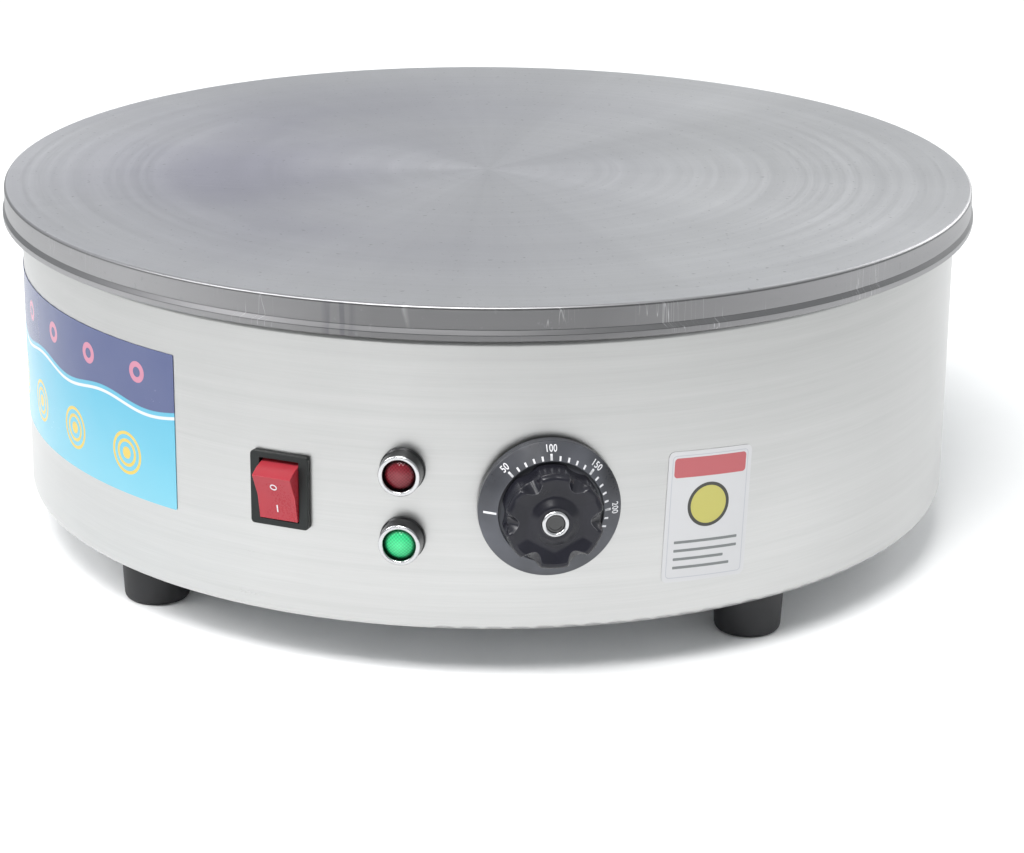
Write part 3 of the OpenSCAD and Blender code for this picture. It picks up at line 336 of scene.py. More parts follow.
@cache
def dust() -> Tree:
    """Builds the mask of the dust that settles on faces that look up.

    Returns:
        The group's tree.
    """
    net, given = Net.group("dust", {"Amount": 0.1, "Patch scale": 25.0})
    up = net.split(net.facing())[2].span(0.2, 0.95, 0.15, 1.0)
    patches = net.noise(net.place(), given["Patch scale"], 5.0).span(0.35, 0.75)
    return net.close(Dust=up * patches * given["Amount"])


@cache
def strokes() -> Tree:
    """Builds the fine parallel strokes of brushed or turned metal, from stretched coordinates.

    Returns:
        The group's tree.
    """
    net, given = Net.group("strokes", {"Stretched place": "Vector", "Fineness": 1.0})
    place, fineness = given.values()
    fine = net.get("ShaderNodeTexNoise", {
        "Vector": place, "Scale": fineness, "Detail": 4.0, "Roughness": 0.7})
    wide = net.noise(place, fineness * 0.12)
    return net.close(Height=fine, Streak=(fine + wide).span(0.7, 1.3))


@cache
def scratches() -> Tree:
    """Builds the mask of a few hair scratches that run in three directions.

    Returns:
        The group's tree.
    """
    net, given = Net.group("scratches", {"Scale": 14.0, "Amount": 0.5})
    where, lines = net.place(), []
    for turn, shift in ((20.0, 0.0), (78.0, 3.1), (131.0, 7.7)):
        placed = net.get("ShaderNodeMapping", {
            "Vector": where, "Location": (shift, shift, 0.0), "Rotation": (0.0, 0.0, math.radians(turn)),
            "Scale": (1.0, 45.0, 1.0)})
        line = abs(net.noise(placed, given["Scale"], 2.0) - 0.5).span(0.0, 0.006, 1.0, 0.0)
        lines.append(line * net.noise(where, 16.0 + shift, 2.0).span(0.58, 0.66))
    both = net.calc("MAXIMUM", lines[0], lines[1])
    return net.close(Scratch=net.calc("MAXIMUM", both, lines[2]) * given["Amount"])


@cache
def printed_box() -> Tree:
    """Builds the mask of a printed box with round corners; with corners as big as half its size, a disc.

    Returns:
        The group's tree.
    """
    net, given = Net.group("printed_box", {
        "Place": "Vector", "Middle": (0.0, 0.0, 0.0), "Half size": (MM, MM, 0.0), "Corner": 0.2 * MM,
        "Line": 0.0})
    place, middle, half, corner, line = given.values()
    blur = 0.06 * MM
    away = net.vector("ABSOLUTE", net.vector("SUBTRACT", place, middle))
    inner = net.vector("SUBTRACT", half, net.join(corner, corner, 0.0))
    x, y, _ = net.split(net.vector("MAXIMUM", net.vector("SUBTRACT", away, inner)))
    edge = net.length(x, y) - corner
    ring = (edge + line).span(-blur, blur)
    solid = 1.0 - net.calc("GREATER_THAN", line, 0.0)
    return net.close(Ink=edge.span(-blur, blur, 1.0, 0.0) * net.calc("MAXIMUM", ring, solid))


@dataclass(frozen=True)
class Finish:
    """A moulded or plated surface: its grain's size and depth, a slow change of shade, wear and dust."""

    slot: str
    colour: Colour
    roughness: float
    metallic: float = 0.0
    size: float = 0.5
    depth: float = 0.004
    spread: float = 0.06
    shade: float = 0.08
    wear: float = 0.35
    worn: Colour = (0.3, 0.3, 0.3)
    dust: float = 0.06
    fixed: tuple[tuple[str, object], ...] = ()
    dust_colour: Colour = (0.55, 0.53, 0.50)

    def tones(self, *gains: float) -> list[Colour]:
        """Gives the colour made darker or lighter by each gain."""
        return [tuple(min(1.0, part * gain) for part in self.colour) for gain in gains]

    def grained(self, net: Net) -> tuple[Wire, Wire, Wire]:
        """Places the grain.

        Args:
            net: The material's net.

        Returns:
            Its shade, the roughness and the normal.
        """
        made = net.effect(grain(), {
            "Size": self.size * MM, "Roughness": self.roughness, "Spread": self.spread})
        return made["Shade"], made["Roughness"], net.bump(made["Height"], self.depth * MM)

    def rough(self, pattern: Wire, low: float, high: float) -> Wire:
        """Turns a pattern between two values into the finish's span of roughness."""
        return pattern.span(low, high, self.roughness - self.spread, self.roughness + self.spread)

    def body(self, net: Net) -> Surface:
        """Works out colour, roughness and normal before wear and dust.

        Args:
            net: The material's net.

        Returns:
            The colour, the roughness and the normal.
        """
        shade, rough, normal = self.grained(net)
        return net.blend(shade, *self.tones(1.0 - self.shade, 1.0 + self.shade)), rough, normal

    def extras(self, net: Net, colour: Wire) -> dict[str, object]:
        """Gives further inputs of the surface shader; a lathe's or roller's sheen turns round the axis.

        Args:
            net: The material's net.
            colour: The finished colour.

        Returns:
            The inputs by name.
        """
        if "Anisotropic" in dict(self.fixed):
            return {"Tangent": net.get("ShaderNodeTangent", direction_type="RADIAL", axis="Z")}
        return {}

    @cache
    def material(self) -> bpy.types.Material:
        """Builds the material, once for each finish.

        Returns:
            The material.
        """
        material = bpy.data.materials.new(f"{self.slot}_finish")
        material.use_nodes = True
        material.diffuse_color = (*self.colour, 1.0)
        net = Net(material.node_tree)
        colour, roughness, normal = self.body(net)
        if self.wear > 0.0:
            rubbed = net.effect(edge_wear(), {"Amount": self.wear})["Worn"]
            colour = net.blend(rubbed, colour, self.worn)
        if self.dust > 0.0:
            fallen = net.effect(dust(), {"Amount": self.dust})["Dust"]
            colour = net.blend(fallen, colour, self.dust_colour)
            roughness = net.calc("ADD", roughness, fallen * 0.3)
        surface = net.get("ShaderNodeBsdfPrincipled", {
            **dict(self.fixed), "Base Color": colour, "Roughness": roughness, "Normal": normal,
            "Metallic": self.metallic, **self.extras(net, colour)})
        net.put("ShaderNodeOutputMaterial", {"Surface": surface})
        return material


@dataclass(frozen=True)
class TurnedIron(Finish):
    """Cast iron faced on a lathe: rings round its middle, blotches, hair scratches, chatter with painted sheen in
    sectors, and painted shade on its left and on its rim.
    """

    pitch: float = 0.35
    # Painted shade on the face's left: its strength, and the radii over which it falls to three tenths
    left_shade: float = 0.74
    left_shade_from: float = 120.0
    left_shade_to: float = 185.0
    # How much the chatter and painted sheen darken sectors round the middle
    painted_sheen_fan: float = 0.27
    # The strength of the rim's painted shade, and the turn where it is darkest
    rim_shade: float = 0.30
    rim_middle: float = 0.12
    drip_turn: float = -0.145
    # The colour of the painted shade on the face's left
    left_shade_tint: Colour = (0.37, 0.36, 0.45)
    # The colour of the painted shade on the rim's slope
    painted_slope_shade: Colour = (0.05, 0.05, 0.05)
    drip: Colour = (0.10, 0.10, 0.11)
    speck: Colour = (0.20, 0.20, 0.21)
    scratched: Colour = (0.85, 0.85, 0.86)

    def face(self, net: Net, streak: Wire, stain: Wire, turn: Wire) -> Wire:
        """Colours the cooking face: turned streaks, chatter with painted sheen in sectors round the middle, and
        painted shade in blotches on the left, fading towards the rim.

        Args:
            net: The material's net.
            streak: The turned strokes.
            stain: The blotches.
            turn: The angle round the axis from the front, in radians.

        Returns:
            The colour.
        """
        x, y, _ = net.split(net.place())
        colour = net.blend(streak, *self.tones(0.95, 1.05))
        # Chatter and painted sheen: sectors round the middle made darker
        spoke = net.join(net.calc("SINE", turn), net.calc("COSINE", turn), 0.0)
        sheen_wedge = net.noise(spoke, 1.7, 1.0) + net.noise(spoke, 14.0) * 0.3
        colour = net.blend(sheen_wedge.span(0.45, 0.85, 0.0, self.painted_sheen_fan), colour, self.tones(0.6)[0])
        # Painted shade: the face's left darkened in blotches, less towards the rim
        thick = net.length(x, y).span(
            self.left_shade_from * MM, self.left_shade_to * MM, self.left_shade, self.left_shade * 0.3)
        painted_left_shade = thick * x.span(-100 * MM, 90 * MM, 1.0, 0.0) * stain.span(0.3, 0.6, 0.5, 1.0)
        return net.blend(painted_left_shade, colour, self.left_shade_tint)

    def rim(self, net: Net, colour: Wire, turn: Wire) -> Wire:
        """Colours the rim: painted shade on its side, darkest towards the front, more painted shade on its slope,
        and a few dark drips.

        Args:
            net: The material's net.
            colour: The face's colour.
            turn: The angle round the axis from the front, in radians.

        Returns:
            The colour.
        """
        up = net.split(net.facing())[2]
        # Painted shade: the rim's side darker than the face, most at the front
        side = up.span(0.75, 0.25)
        painted_rim_shade = abs(turn - self.rim_middle).span(0.2, 0.75, self.rim_shade * 0.62, self.rim_shade * 1.2)
        colour = net.blend(side, colour, net.join(*(painted_rim_shade * part for part in self.colour)))
        # Painted shade on the rim's sloping step, picked out by its normal
        slope = up.span(0.05, 0.3) * up.span(0.97, 0.8)
        colour = net.blend(slope * 0.6, colour, self.painted_slope_shade)
        high = net.split(net.place())[2]
        runs = net.noise(net.join(turn * 60.0, high * 12.0, 0.0), 1.0, 2.0)
        near = abs(turn - self.drip_turn).span(0.02, 0.035, 1.0, 0.0)
        return net.blend(near * side * runs.span(0.5, 0.6, 0.0, 0.6), colour, self.drip)

    def body(self, net: Net) -> Surface:
        """Works out colour, roughness and normal, as Finish.body does.

        Args:
            net: The material's net.

        Returns:
            The colour, the roughness and the normal.
        """
        where = net.place()
        x, y, z = net.split(where)
        across = net.join(net.length(x, y) * 60.0, x, z * 60.0)
        rings = net.effect(strokes(), {"Stretched place": across, "Fineness": 0.016 / (self.pitch * MM)})
        stain = net.noise(where, 9.0, 6.0)
        turn = net.calc("ARCTAN2", x, y * -1.0)
        colour = self.rim(net, self.face(net, rings["Streak"], stain, turn), turn)
        specks = net.noise(where, 420.0, 2.0).span(0.66, 0.74, 0.0, 0.35)
        colour = net.blend(specks, colour, self.speck)
        scratch = net.effect(scratches(), {"Amount": 0.5})["Scratch"]
        colour = net.blend(scratch * 0.6, colour, self.scratched)
        change = (stain + rings["Streak"]).span(0.4, 1.3, -self.spread, self.spread)
        normal = net.bump(rings["Height"], self.depth * MM)
        normal = net.bump(1.0 - scratch, 0.01 * MM, normal)
        return colour, net.calc("ADD", self.roughness, change), normal


@dataclass(frozen=True)
class BrushedSteel(Finish):
    """Sheet metal brushed in one direction, with faint smears."""

    brushing: Brushing = Brushing.ROUND_THE_DRUM

    def rolled(self, net: Net) -> Wire | None:
        """Gives a normal that takes the place of the mesh's own, or None to keep that."""
        return None

    def body(self, net: Net) -> Surface:
        """Works out colour, roughness and normal, as Finish.body does.

        Args:
            net: The material's net.

        Returns:
            The colour, the roughness and the normal.
        """
        where = net.place()
        drawn = net.get("ShaderNodeMapping", {"Vector": where, "Scale": self.brushing.value})
        brushed = net.effect(strokes(), {"Stretched place": drawn, "Fineness": 34.0})
        colour = net.blend(brushed["Streak"], *self.tones(0.93, 1.04))
        smear = self.rough(net.noise(where, 14.0, 5.0, (1.0, 1.0, 0.5)), 0.35, 0.68)
        normal = net.bump(brushed["Height"], self.depth * MM, self.rolled(net))
        return colour, smear + brushed["Streak"] * 0.05, normal


@dataclass(frozen=True)
class DrumSteel(BrushedSteel):
    """The drum's brushed steel, with painted shade that darkens it a little towards its upper edge, under the
    plate.
    """

    # The heights over which the painted shade grows, and its strength
    top_shade_from: float = 45.0
    top_shade_to: float = 138.0
    top_shade: float = 0.24
    wall_r: float = 192.5
    low: float = 23.0
    top: float = 136.0
    bend_r: float = 3.0
    # The painted shade's colour
    painted_top_shade: Colour = (0.02, 0.02, 0.018)

    def rolled(self, net: Net) -> Wire:
        """Gives the rolled sheet's smooth normal on its outside, and leaves its inside and cut edges alone.

        Args:
            net: The material's net.

        Returns:
            The normal.
        """
        x, y, z = net.split(net.place())
        radius = net.length(x, y)
        out = net.calc("MAXIMUM", radius - (self.wall_r - self.bend_r) * MM, 0.0) / radius
        inside = net.calc("MAXIMUM", net.calc("MINIMUM", z, (self.top - self.bend_r) * MM),
                          (self.low + self.bend_r) * MM)
        smooth = net.vector("NORMALIZE", net.join(x * out, y * out, z - inside))
        own = net.facing()
        alike = net.vector("DOT_PRODUCT", smooth, own, output="Value")
        return net.blend(net.calc("GREATER_THAN", alike, 0.7), own, smooth)

    def body(self, net: Net) -> Surface:
        """Works out colour, roughness and normal, as Finish.body does.

        Args:
            net: The material's net.

        Returns:
            The colour, the roughness and the normal.
        """
        colour, rough, normal = super().body(net)
        # Painted shade: darker towards the upper edge, under the plate's overhang
        high = net.split(net.place())[2]
        share = high.span(self.top_shade_from * MM, self.top_shade_to * MM, 0.0, self.top_shade)
        return net.blend(share, colour, self.painted_top_shade), rough, normal


@dataclass(frozen=True)
class Galvanised(Finish):
    """Zinc-coated sheet with the coating's crystals showing."""

    crystal: float = 9.0

    def body(self, net: Net) -> Surface:
        """Works out colour, roughness and normal, as Finish.body does.

        Args:
            net: The material's net.

        Returns:
            The colour, the roughness and the normal.
        """
        where = net.place()
        push = net.get("ShaderNodeTexNoise", {"Vector": where, "Scale": 120.0}, 1)
        push = net.get("ShaderNodeVectorMath", {0: push, 3: 0.004}, operation="SCALE")
        cells = net.get("ShaderNodeTexVoronoi", {
            "Vector": net.vector("ADD", where, push), "Scale": 1.0 / (self.crystal * MM)}, "Color")
        tone = net.split(cells)[0]
        colour = net.blend(tone, *self.tones(0.85, 1.12))
        return colour, self.rough(tone, 0.0, 1.0), net.bump(tone, self.depth * MM)


@dataclass(frozen=True)
class HeatedSheath(Finish):
    """A heating ring's steel sheath, tinted straw, brown and blue by heat."""

    blue: Colour = (0.16, 0.15, 0.19)
    straw: Colour = (0.30, 0.21, 0.13)

    def body(self, net: Net) -> Surface:
        """Works out colour, roughness and normal, as Finish.body does.

        Args:
            net: The material's net.

        Returns:
            The colour, the roughness and the normal.
        """
        where = net.place()
        heat = net.noise(where, 18.0)
        tint = net.blend(heat.span(0.35, 0.55), self.blue, self.straw)
        tint = net.blend(heat.span(0.55, 0.70), tint, self.colour)
        scale = net.noise(where, 900.0)
        return tint, self.rough(scale, 0.3, 0.7), net.bump(scale, self.depth * MM)


@dataclass(frozen=True)
class Fibrous(Finish):
    """Matted fibres: wool board, or a gasket's woven tape."""

    def body(self, net: Net) -> Surface:
        """Works out colour, roughness and normal, as Finish.body does.

        Args:
            net: The material's net.

        Returns:
            The colour, the roughness and the normal.
        """
        where = net.place()
        fibre = net.calc("MAXIMUM", *(
            net.noise(where, 260.0, 5.0, way) for way in ((1.0, 5.0, 1.0), (5.0, 1.0, 2.0))))
        colour = net.blend(fibre.span(0.45, 0.7), *self.tones(0.7, 1.1))
        return colour, self.roughness, net.bump(fibre, self.depth * MM)


@dataclass(frozen=True)
class Chrome(Finish):
    """Chrome plate with a painted dark reflection, which grows where the mesh's own attribute rises to 1, so that
    only a lip stays bright.
    """

    # How far the painted dark reflection darkens the chrome, and its colour
    dark_reflection: float = 0.93
    dark_reflection_tint: Colour = (0.02, 0.02, 0.022)

    def body(self, net: Net) -> Surface:
        """Works out colour, roughness and normal, as Finish.body does.

        Args:
            net: The material's net.

        Returns:
            The colour, the roughness and the normal.
        """
        colour, rough, normal = super().body(net)
        # Painted reflection: the chrome made dark away from its lip
        away = net.get("ShaderNodeAttribute", output="Fac", attribute_name=FROM_MIDDLE)
        return net.blend(away.span(0.0, 1.0, 0.0, self.dark_reflection), colour, self.dark_reflection_tint), rough, normal


@dataclass(frozen=True)
class Lens(Finish):
    """A lamp's coloured lens, finely ribbed inside, with painted light in its middle and painted shade at its
    edge, lit or not.
    """

    glow: Glow = Glow.DARK
    rib_pitch: float = 1.3

    def body(self, net: Net) -> Surface:
        """Works out colour, roughness and normal, as Finish.body does.

        Args:
            net: The material's net.

        Returns:
            The colour, the roughness and the normal.
        """
        where = net.place()
        x, _, z = net.split(where)
        ribs, tiers = (net.calc("SINE", way * (math.tau / (self.rib_pitch * MM))) for way in (x, z))
        facets = ribs * tiers
        deep, dark = self.tones(0.35, 0.05)
        lit = tuple(min(1.0, part * 1.25 + 0.06) for part in self.colour)
        out = net.get("ShaderNodeAttribute", output="Fac", attribute_name=FROM_MIDDLE)
        colour = net.blend(facets.span(-1.0, 1.0, 0.25, 1.0), deep, self.colour)
        # Painted light: the lens paler towards its middle
        colour = net.blend(out.span(0.1, 0.65, 0.3, 0.0), colour, lit)
        # Painted shade: the lens nearly black at its edge, under the bezel's lip
        colour = net.blend(out.span(0.72, 0.90, 0.0, 0.92), colour, dark)
        return colour, self.rough(net.noise(where, 300.0), 0.3, 0.7), net.bump(facets, self.depth * MM)

    def extras(self, net: Net, colour: Wire) -> dict[str, object]:
        """Gives the glow's inputs, as Finish.extras does."""
        return {"Emission Color": colour, "Emission Strength": self.glow.value}


@dataclass(frozen=True)
class PrintedFoil(Finish):
    """A printed foil: an ink pattern on the piece's own UV map, in metres from its lower left corner."""

    wide: float = 30.0
    high: float = 50.0
    # The pale grey of the painted sheen
    painted_sheen: Colour = (0.50, 0.50, 0.52)

    def inks(self, net: Net, place: Wire) -> Wire:
        """Works out the printed colours.

        Args:
            net: The material's net.
            place: The place on the foil, in metres.

        Returns:
            The colour.
        """
        raise NotImplementedError

    def ink(self, net: Net, colour: object, place: Wire, middle: Flat, half: Flat, corner: float,
            tint: Colour, line: float = 0.0) -> Wire:
        """Prints one box or disc over a colour.

        Args:
            net: The material's net.
            colour: What is printed on.
            place: The place on the foil.
            middle: The shape's middle.
            half: Half its width and half its height.
            corner: The radius of its corners.
            tint: The ink's colour.
            line: The width of its outline, or 0 for a solid shape.

        Returns:
            The colour.
        """
        mask = net.effect(printed_box(), {
            "Place": place, "Middle": metres(*middle, 0.0), "Half size": metres(*half, 0.0),
            "Corner": corner * MM, "Line": line * MM})["Ink"]
        return net.blend(mask, colour, tint)

    def body(self, net: Net) -> Surface:
        """Works out colour, roughness and normal, as Finish.body does.

        Args:
            net: The material's net.

        Returns:
            The colour, the roughness and the normal.
        """
        place = net.get("ShaderNodeUVMap", uv_map="foil")
        shade, rough, normal = self.grained(net)
        # Painted sheen: pale grey in random blotches over the print
        return net.blend(shade * self.shade, self.inks(net, place), self.painted_sheen), rough, normal


@dataclass(frozen=True)
class SideFoil(PrintedFoil):
    """The foil on the drum's left: a violet band over a pale blue field, with rings, dots and a wave."""

    band_low: float = 0.63
    waves: int = 3
    violet: Colour = (0.050, 0.065, 0.155)
    pink: Colour = (0.40, 0.15, 0.22)
    yellow: Colour = (0.50, 0.37, 0.07)
    pale: Colour = (0.14, 0.39, 0.49)
    white: Colour = (0.50, 0.52, 0.53)

    def inks(self, net: Net, place: Wire) -> Wire:
        """Works out the printed colours, as PrintedFoil.inks does.

        Args:
            net: The material's net.
            place: The place on the foil, in metres.

        Returns:
            The colour.
        """
        along, up, _ = net.split(place)
        low = self.band_low * self.high * MM
        sky = net.blend(up.span(0.0, low), self.pale, self.colour)
        wave = net.calc("SINE", along * (math.tau / (self.wide * MM / self.waves))) * (1.6 * MM)
        above = up - (wave + low)
        ink = net.blend(above.span(-0.1 * MM, 0.1 * MM), sky, self.violet)
        line = abs(above + 2.2 * MM).span(0.5 * MM, 0.7 * MM, 1.0, 0.0)
        ink = net.blend(line, ink, self.white)
        for step in range(5):
            spot = ((0.12 + 0.19 * step) * self.wide, (self.band_low + 1.0) / 2 * self.high + 0.6)
            for half, tint in ((4.2, self.pink), (2.0, self.violet)):
                ink = self.ink(net, ink, place, spot, (half, half), half, tint)
        for step in range(4):
            spot = ((0.16 + 0.225 * step) * self.wide, 0.27 * self.high)
            for half, width in ((8.6, 1.3), (5.6, 1.3), (2.4, 0.0)):
                ink = self.ink(net, ink, place, spot, (half, half), half, self.yellow, width)
        return ink


@dataclass(frozen=True)
class FrontLabel(PrintedFoil):
    """The white label on the right of the front: a red bar, a yellow disc in a dark ring and grey rules."""

    red: Colour = (0.38, 0.09, 0.10)
    yellow: Colour = (0.41, 0.38, 0.10)
    dark: Colour = (0.04, 0.04, 0.035)
    grey: Colour = (0.15, 0.16, 0.16)
    border: Colour = (0.34, 0.35, 0.39)
    rules: tuple[float, ...] = (0.38, 0.38, 0.30, 0.34)

    def inks(self, net: Net, place: Wire) -> Wire:
        """Works out the printed colours, as PrintedFoil.inks does.

        Args:
            net: The material's net.
            place: The place on the foil, in metres.

        Returns:
            The colour.
        """
        wide, high = self.wide, self.high
        middle, disc, level = wide / 2, 0.17 * high, 0.58 * high
        inner = disc - 1.3
        shapes = [
            ((middle, high / 2), (0.455 * wide, 0.47 * high), 1.6, self.border, 0.25),
            ((middle, 0.875 * high), (0.43 * wide, 0.075 * high), 1.4, self.red, 0.0),
            ((middle, level), (disc, disc), disc, self.dark, 0.0),
            ((middle, level), (inner, inner), inner, self.yellow, 0.0)]
        for row, share in enumerate(self.rules):
            spot = (middle - (self.rules[0] - share) * wide, (0.305 - 0.065 * row) * high)
            shapes.append((spot, (share * wide, 0.55), 0.3, self.grey, 0.0))
        ink = self.colour
        for shape in shapes:
            ink = self.ink(net, ink, place, *shape)
        return ink


# The finishes, by the record's material slots
CLEAR_COAT = (("Coat Weight", 0.35), ("Coat Roughness", 0.08))
SATIN = (("Specular IOR Level", 0.3),)
FINISHES = (
    TurnedIron("plate_iron", (0.77, 0.765, 0.78), 0.38, 1.0, depth=0.003, spread=0.03, wear=0.3,
               worn=(0.62, 0.62, 0.63), dust=0.03, fixed=(("Anisotropic", 0.45),)),
    DrumSteel("drum_steel", (0.49, 0.49, 0.485), 0.30, 1.0, depth=0.001, spread=0.03, wear=0.0, dust=0.02,
              fixed=(("Anisotropic", -0.5),)),
    Galvanised("cover_sheet", (0.60, 0.61, 0.62), 0.42, 1.0, spread=0.08, wear=0.3, worn=(0.8, 0.8, 0.8)),
    BrushedSteel("inner_sheet", (0.55, 0.56, 0.57), 0.40, 1.0, depth=0.003, wear=0.3,
                 worn=(0.75, 0.75, 0.75), brushing=Brushing.ALONG_THE_SHEET),
    Finish("bright_fastener", (0.72, 0.72, 0.73), 0.22, 1.0, size=0.3, wear=0.3, worn=(0.9, 0.9, 0.9)),
    Finish("zinc_fastener", (0.62, 0.63, 0.64), 0.38, 1.0, size=0.4, wear=0.4, worn=(0.85, 0.85, 0.85)),
    HeatedSheath("ring_sheath", (0.30, 0.29, 0.28), 0.45, 1.0, depth=0.01, wear=0.0),
    Finish("white_ceramic", (0.80, 0.78, 0.71), 0.62, size=0.25, depth=0.012, worn=(0.9, 0.88, 0.84)),
    Finish("bus_brass", (0.78, 0.62, 0.32), 0.30, 1.0, size=0.4, shade=0.15, worn=(0.95, 0.82, 0.5)),
    Finish("copper", (0.72, 0.45, 0.32), 0.30, 1.0, size=0.4, shade=0.15, worn=(0.95, 0.7, 0.55)),
    Fibrous("insulation_wool", (0.70, 0.62, 0.46), 0.95, depth=0.25, wear=0.0),
    Fibrous("gasket_fibre", (0.60, 0.58, 0.54), 0.9, depth=0.1, wear=0.0),
    Finish("foot_rubber", (0.010, 0.010, 0.012), 0.62, size=0.35, depth=0.02, shade=0.2,
           worn=(0.07, 0.07, 0.07), dust=0.10),
    Finish("seal_rubber", (0.04, 0.04, 0.04), 0.6, depth=0.02, worn=(0.09, 0.09, 0.09)),
    Finish("switch_black", (0.006, 0.008, 0.008), 0.42, size=0.25, depth=0.006, shade=0.15, wear=0.3,
           worn=(0.06, 0.06, 0.06), dust=0.02, fixed=SATIN),
    # The rocker's faint red emission is a painted glow: no lamp is inside it
    Finish("rocker_red", (0.30, 0.026, 0.038), 0.28, size=0.6, depth=0.003, wear=0.3,
           worn=(0.60, 0.12, 0.14), dust=0.01, fixed=(
               *SATIN, ("Subsurface Weight", 0.25), ("Subsurface Scale", 1.5 * MM),
               ("Subsurface Radius", (1.0, 0.12, 0.1)), ("Emission Color", (0.9, 0.03, 0.04, 1.0)),
               ("Emission Strength", 0.03))),
    Chrome("bezel_chrome", (0.50, 0.50, 0.51), 0.24, 1.0, size=0.6, depth=0.001, spread=0.03, shade=0.03,
           wear=0.2, worn=(0.95, 0.95, 0.95), dust=0.03),
    Lens("lens_red", (0.16, 0.012, 0.02), 0.10, depth=0.03, spread=0.03, wear=0.0, dust=0.01, fixed=SATIN),
    Lens("lens_green", (0.03, 0.42, 0.16), 0.10, depth=0.03, spread=0.03, wear=0.0, dust=0.01, fixed=SATIN,
         glow=Glow.LIT),
    Finish("lamp_white", (0.78, 0.78, 0.75), 0.5, size=0.4),
    Finish("bulb_glass", (0.95, 0.9, 0.8), 0.05, wear=0.0, fixed=(("Transmission Weight", 0.9),)),
    Finish("bakelite", (0.10, 0.05, 0.035), 0.4, size=0.8, shade=0.3, worn=(0.25, 0.15, 0.1)),
    Finish("skirt_black", (0.048, 0.050, 0.058), 0.30, size=0.9, depth=0.006, spread=0.12, shade=0.8,
           wear=0.5, worn=(0.20, 0.20, 0.21), dust=0.05, fixed=SATIN),
    Finish("knob_black", (0.009, 0.009, 0.014), 0.24, depth=0.003, spread=0.05, shade=0.2, wear=0.7,
           worn=(0.16, 0.16, 0.17), dust=0.02, fixed=SATIN),
    Finish("cap_black", (0.012, 0.012, 0.013), 0.12, size=0.8, depth=0.001, wear=0.2,
           worn=(0.1, 0.1, 0.1), fixed=CLEAR_COAT),
    Finish("gland_black", (0.025, 0.025, 0.026), 0.45, size=0.3, depth=0.01, wear=0.5,
           worn=(0.12, 0.12, 0.12)),
    Finish("wire_brown", (0.16, 0.06, 0.03), 0.45, size=0.3, worn=(0.25, 0.12, 0.08)),
    Finish("wire_blue", (0.05, 0.13, 0.42), 0.45, size=0.3, worn=(0.15, 0.25, 0.5)),
    Finish("wire_green", (0.20, 0.42, 0.07), 0.45, size=0.3, worn=(0.35, 0.55, 0.2)),
    Finish("wire_grey", (0.20, 0.20, 0.21), 0.45, size=0.3, worn=(0.3, 0.3, 0.3)),
    SideFoil("foil_print", (0.07, 0.31, 0.43), 0.25, size=1.2, depth=0.003, shade=0.05, wear=0.0,
             dust=0.02, fixed=SATIN, wide=165.6, high=61.4),
    FrontLabel("label_print", (0.48, 0.48, 0.49), 0.30, size=1.2, depth=0.003, shade=0.03, wear=0.0,
               dust=0.02, fixed=SATIN, wide=35.0, high=51.2),
    Finish("scale_white", (0.60, 0.60, 0.62), 0.45, size=0.2, shade=0.12, wear=0.0),
)
FINISH = {finish.slot: finish for finish in FINISHES}
WHITE_INK = "scale_white"


def metres(*sizes: float) -> tuple[float, ...]:
    """Turns millimetres into metres."""
    return tuple(size * MM for size in sizes)


def moved(x: float, y: float, z: float) -> Matrix:
    """Gives a shift in millimetres as a matrix."""
    return Matrix.Translation(metres(x, y, z))


def turned(angle: float, axis: str) -> Matrix:
    """Gives a turn in degrees about an axis as a matrix."""
    return Matrix.Rotation(math.radians(angle), 4, axis)


def box_mm(node: str) -> tuple[list[float], list[float]]:
    """Gives a CAD node's lowest and highest corners in millimetres."""
    low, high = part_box(node)
    return [side / MM for side in low], [side / MM for side in high]


def added(data: bpy.types.ID) -> Object:
    """Puts data into the scene as an object of the same name.

    Args:
        data: A mesh, curve, light or camera.

    Returns:
        The object.
    """
    thing = bpy.data.objects.new(data.name, data)
    bpy.context.scene.collection.objects.link(thing)
    return thing


def plain_mesh(thing: Object, name: str = "part") -> Object:
    """Turns an object with its modifiers into a plain mesh at the origin.

    Args:
        thing: The object, which is removed.
        name: The mesh's name.

    Returns:
        The plain mesh's object.
    """
    bpy.context.view_layer.update()
    graph = bpy.context.evaluated_depsgraph_get()
    mesh = bpy.data.meshes.new_from_object(thing.evaluated_get(graph))
    bpy.data.objects.remove(thing)
    mesh.name = name
    piece = added(mesh)
    piece.name = name
    return piece


def paint(piece: Object, slot: str) -> None:
    """Gives a piece one finish."""
    piece.data.materials.clear()
    piece.data.materials.append(FINISH[slot].material())


def settled(piece: Object, name: str, slot: str, body: Body = Body.CASING, stands_for: tuple[str, ...] = (),
            seat: Matrix | None = None, crease: float = 40.0) -> Object:
    """Finishes a piece: outward faces, weighted normals, its finish, its body and the nodes it stands for.

    Args:
        piece: The piece, a plain mesh at the origin.
        name: Its name.
        slot: Its finish.
        body: The body that it moves with.
        stands_for: The CAD nodes that it replaces.
        seat: Where its mesh goes, or None to leave it.
        crease: The angle between faces above which an edge stays sharp, in degrees.

    Returns:
        The finished piece.
    """
    if seat is not None:
        piece.data.transform(seat)
    shape = bmesh.new()
    shape.from_mesh(piece.data)
    bmesh.ops.remove_doubles(shape, verts=shape.verts, dist=SAME_SPOT)
    bmesh.ops.recalc_face_normals(shape, faces=shape.faces)
    for face in shape.faces:
        face.smooth = True
    shape.to_mesh(piece.data)
    shape.free()
    piece.data.set_sharp_from_angle(angle=math.radians(crease))
    piece.modifiers.new("weighted", "WEIGHTED_NORMAL").keep_sharp = True
    done = plain_mesh(piece, name)
    paint(done, slot)
    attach(done, body.value)
    if stands_for:
        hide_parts(*stands_for)
    slot != WHITE_INK
    log.info("%s: %d faces, %s, on %s", done.name, len(done.data.polygons), slot, body.value)
    return done


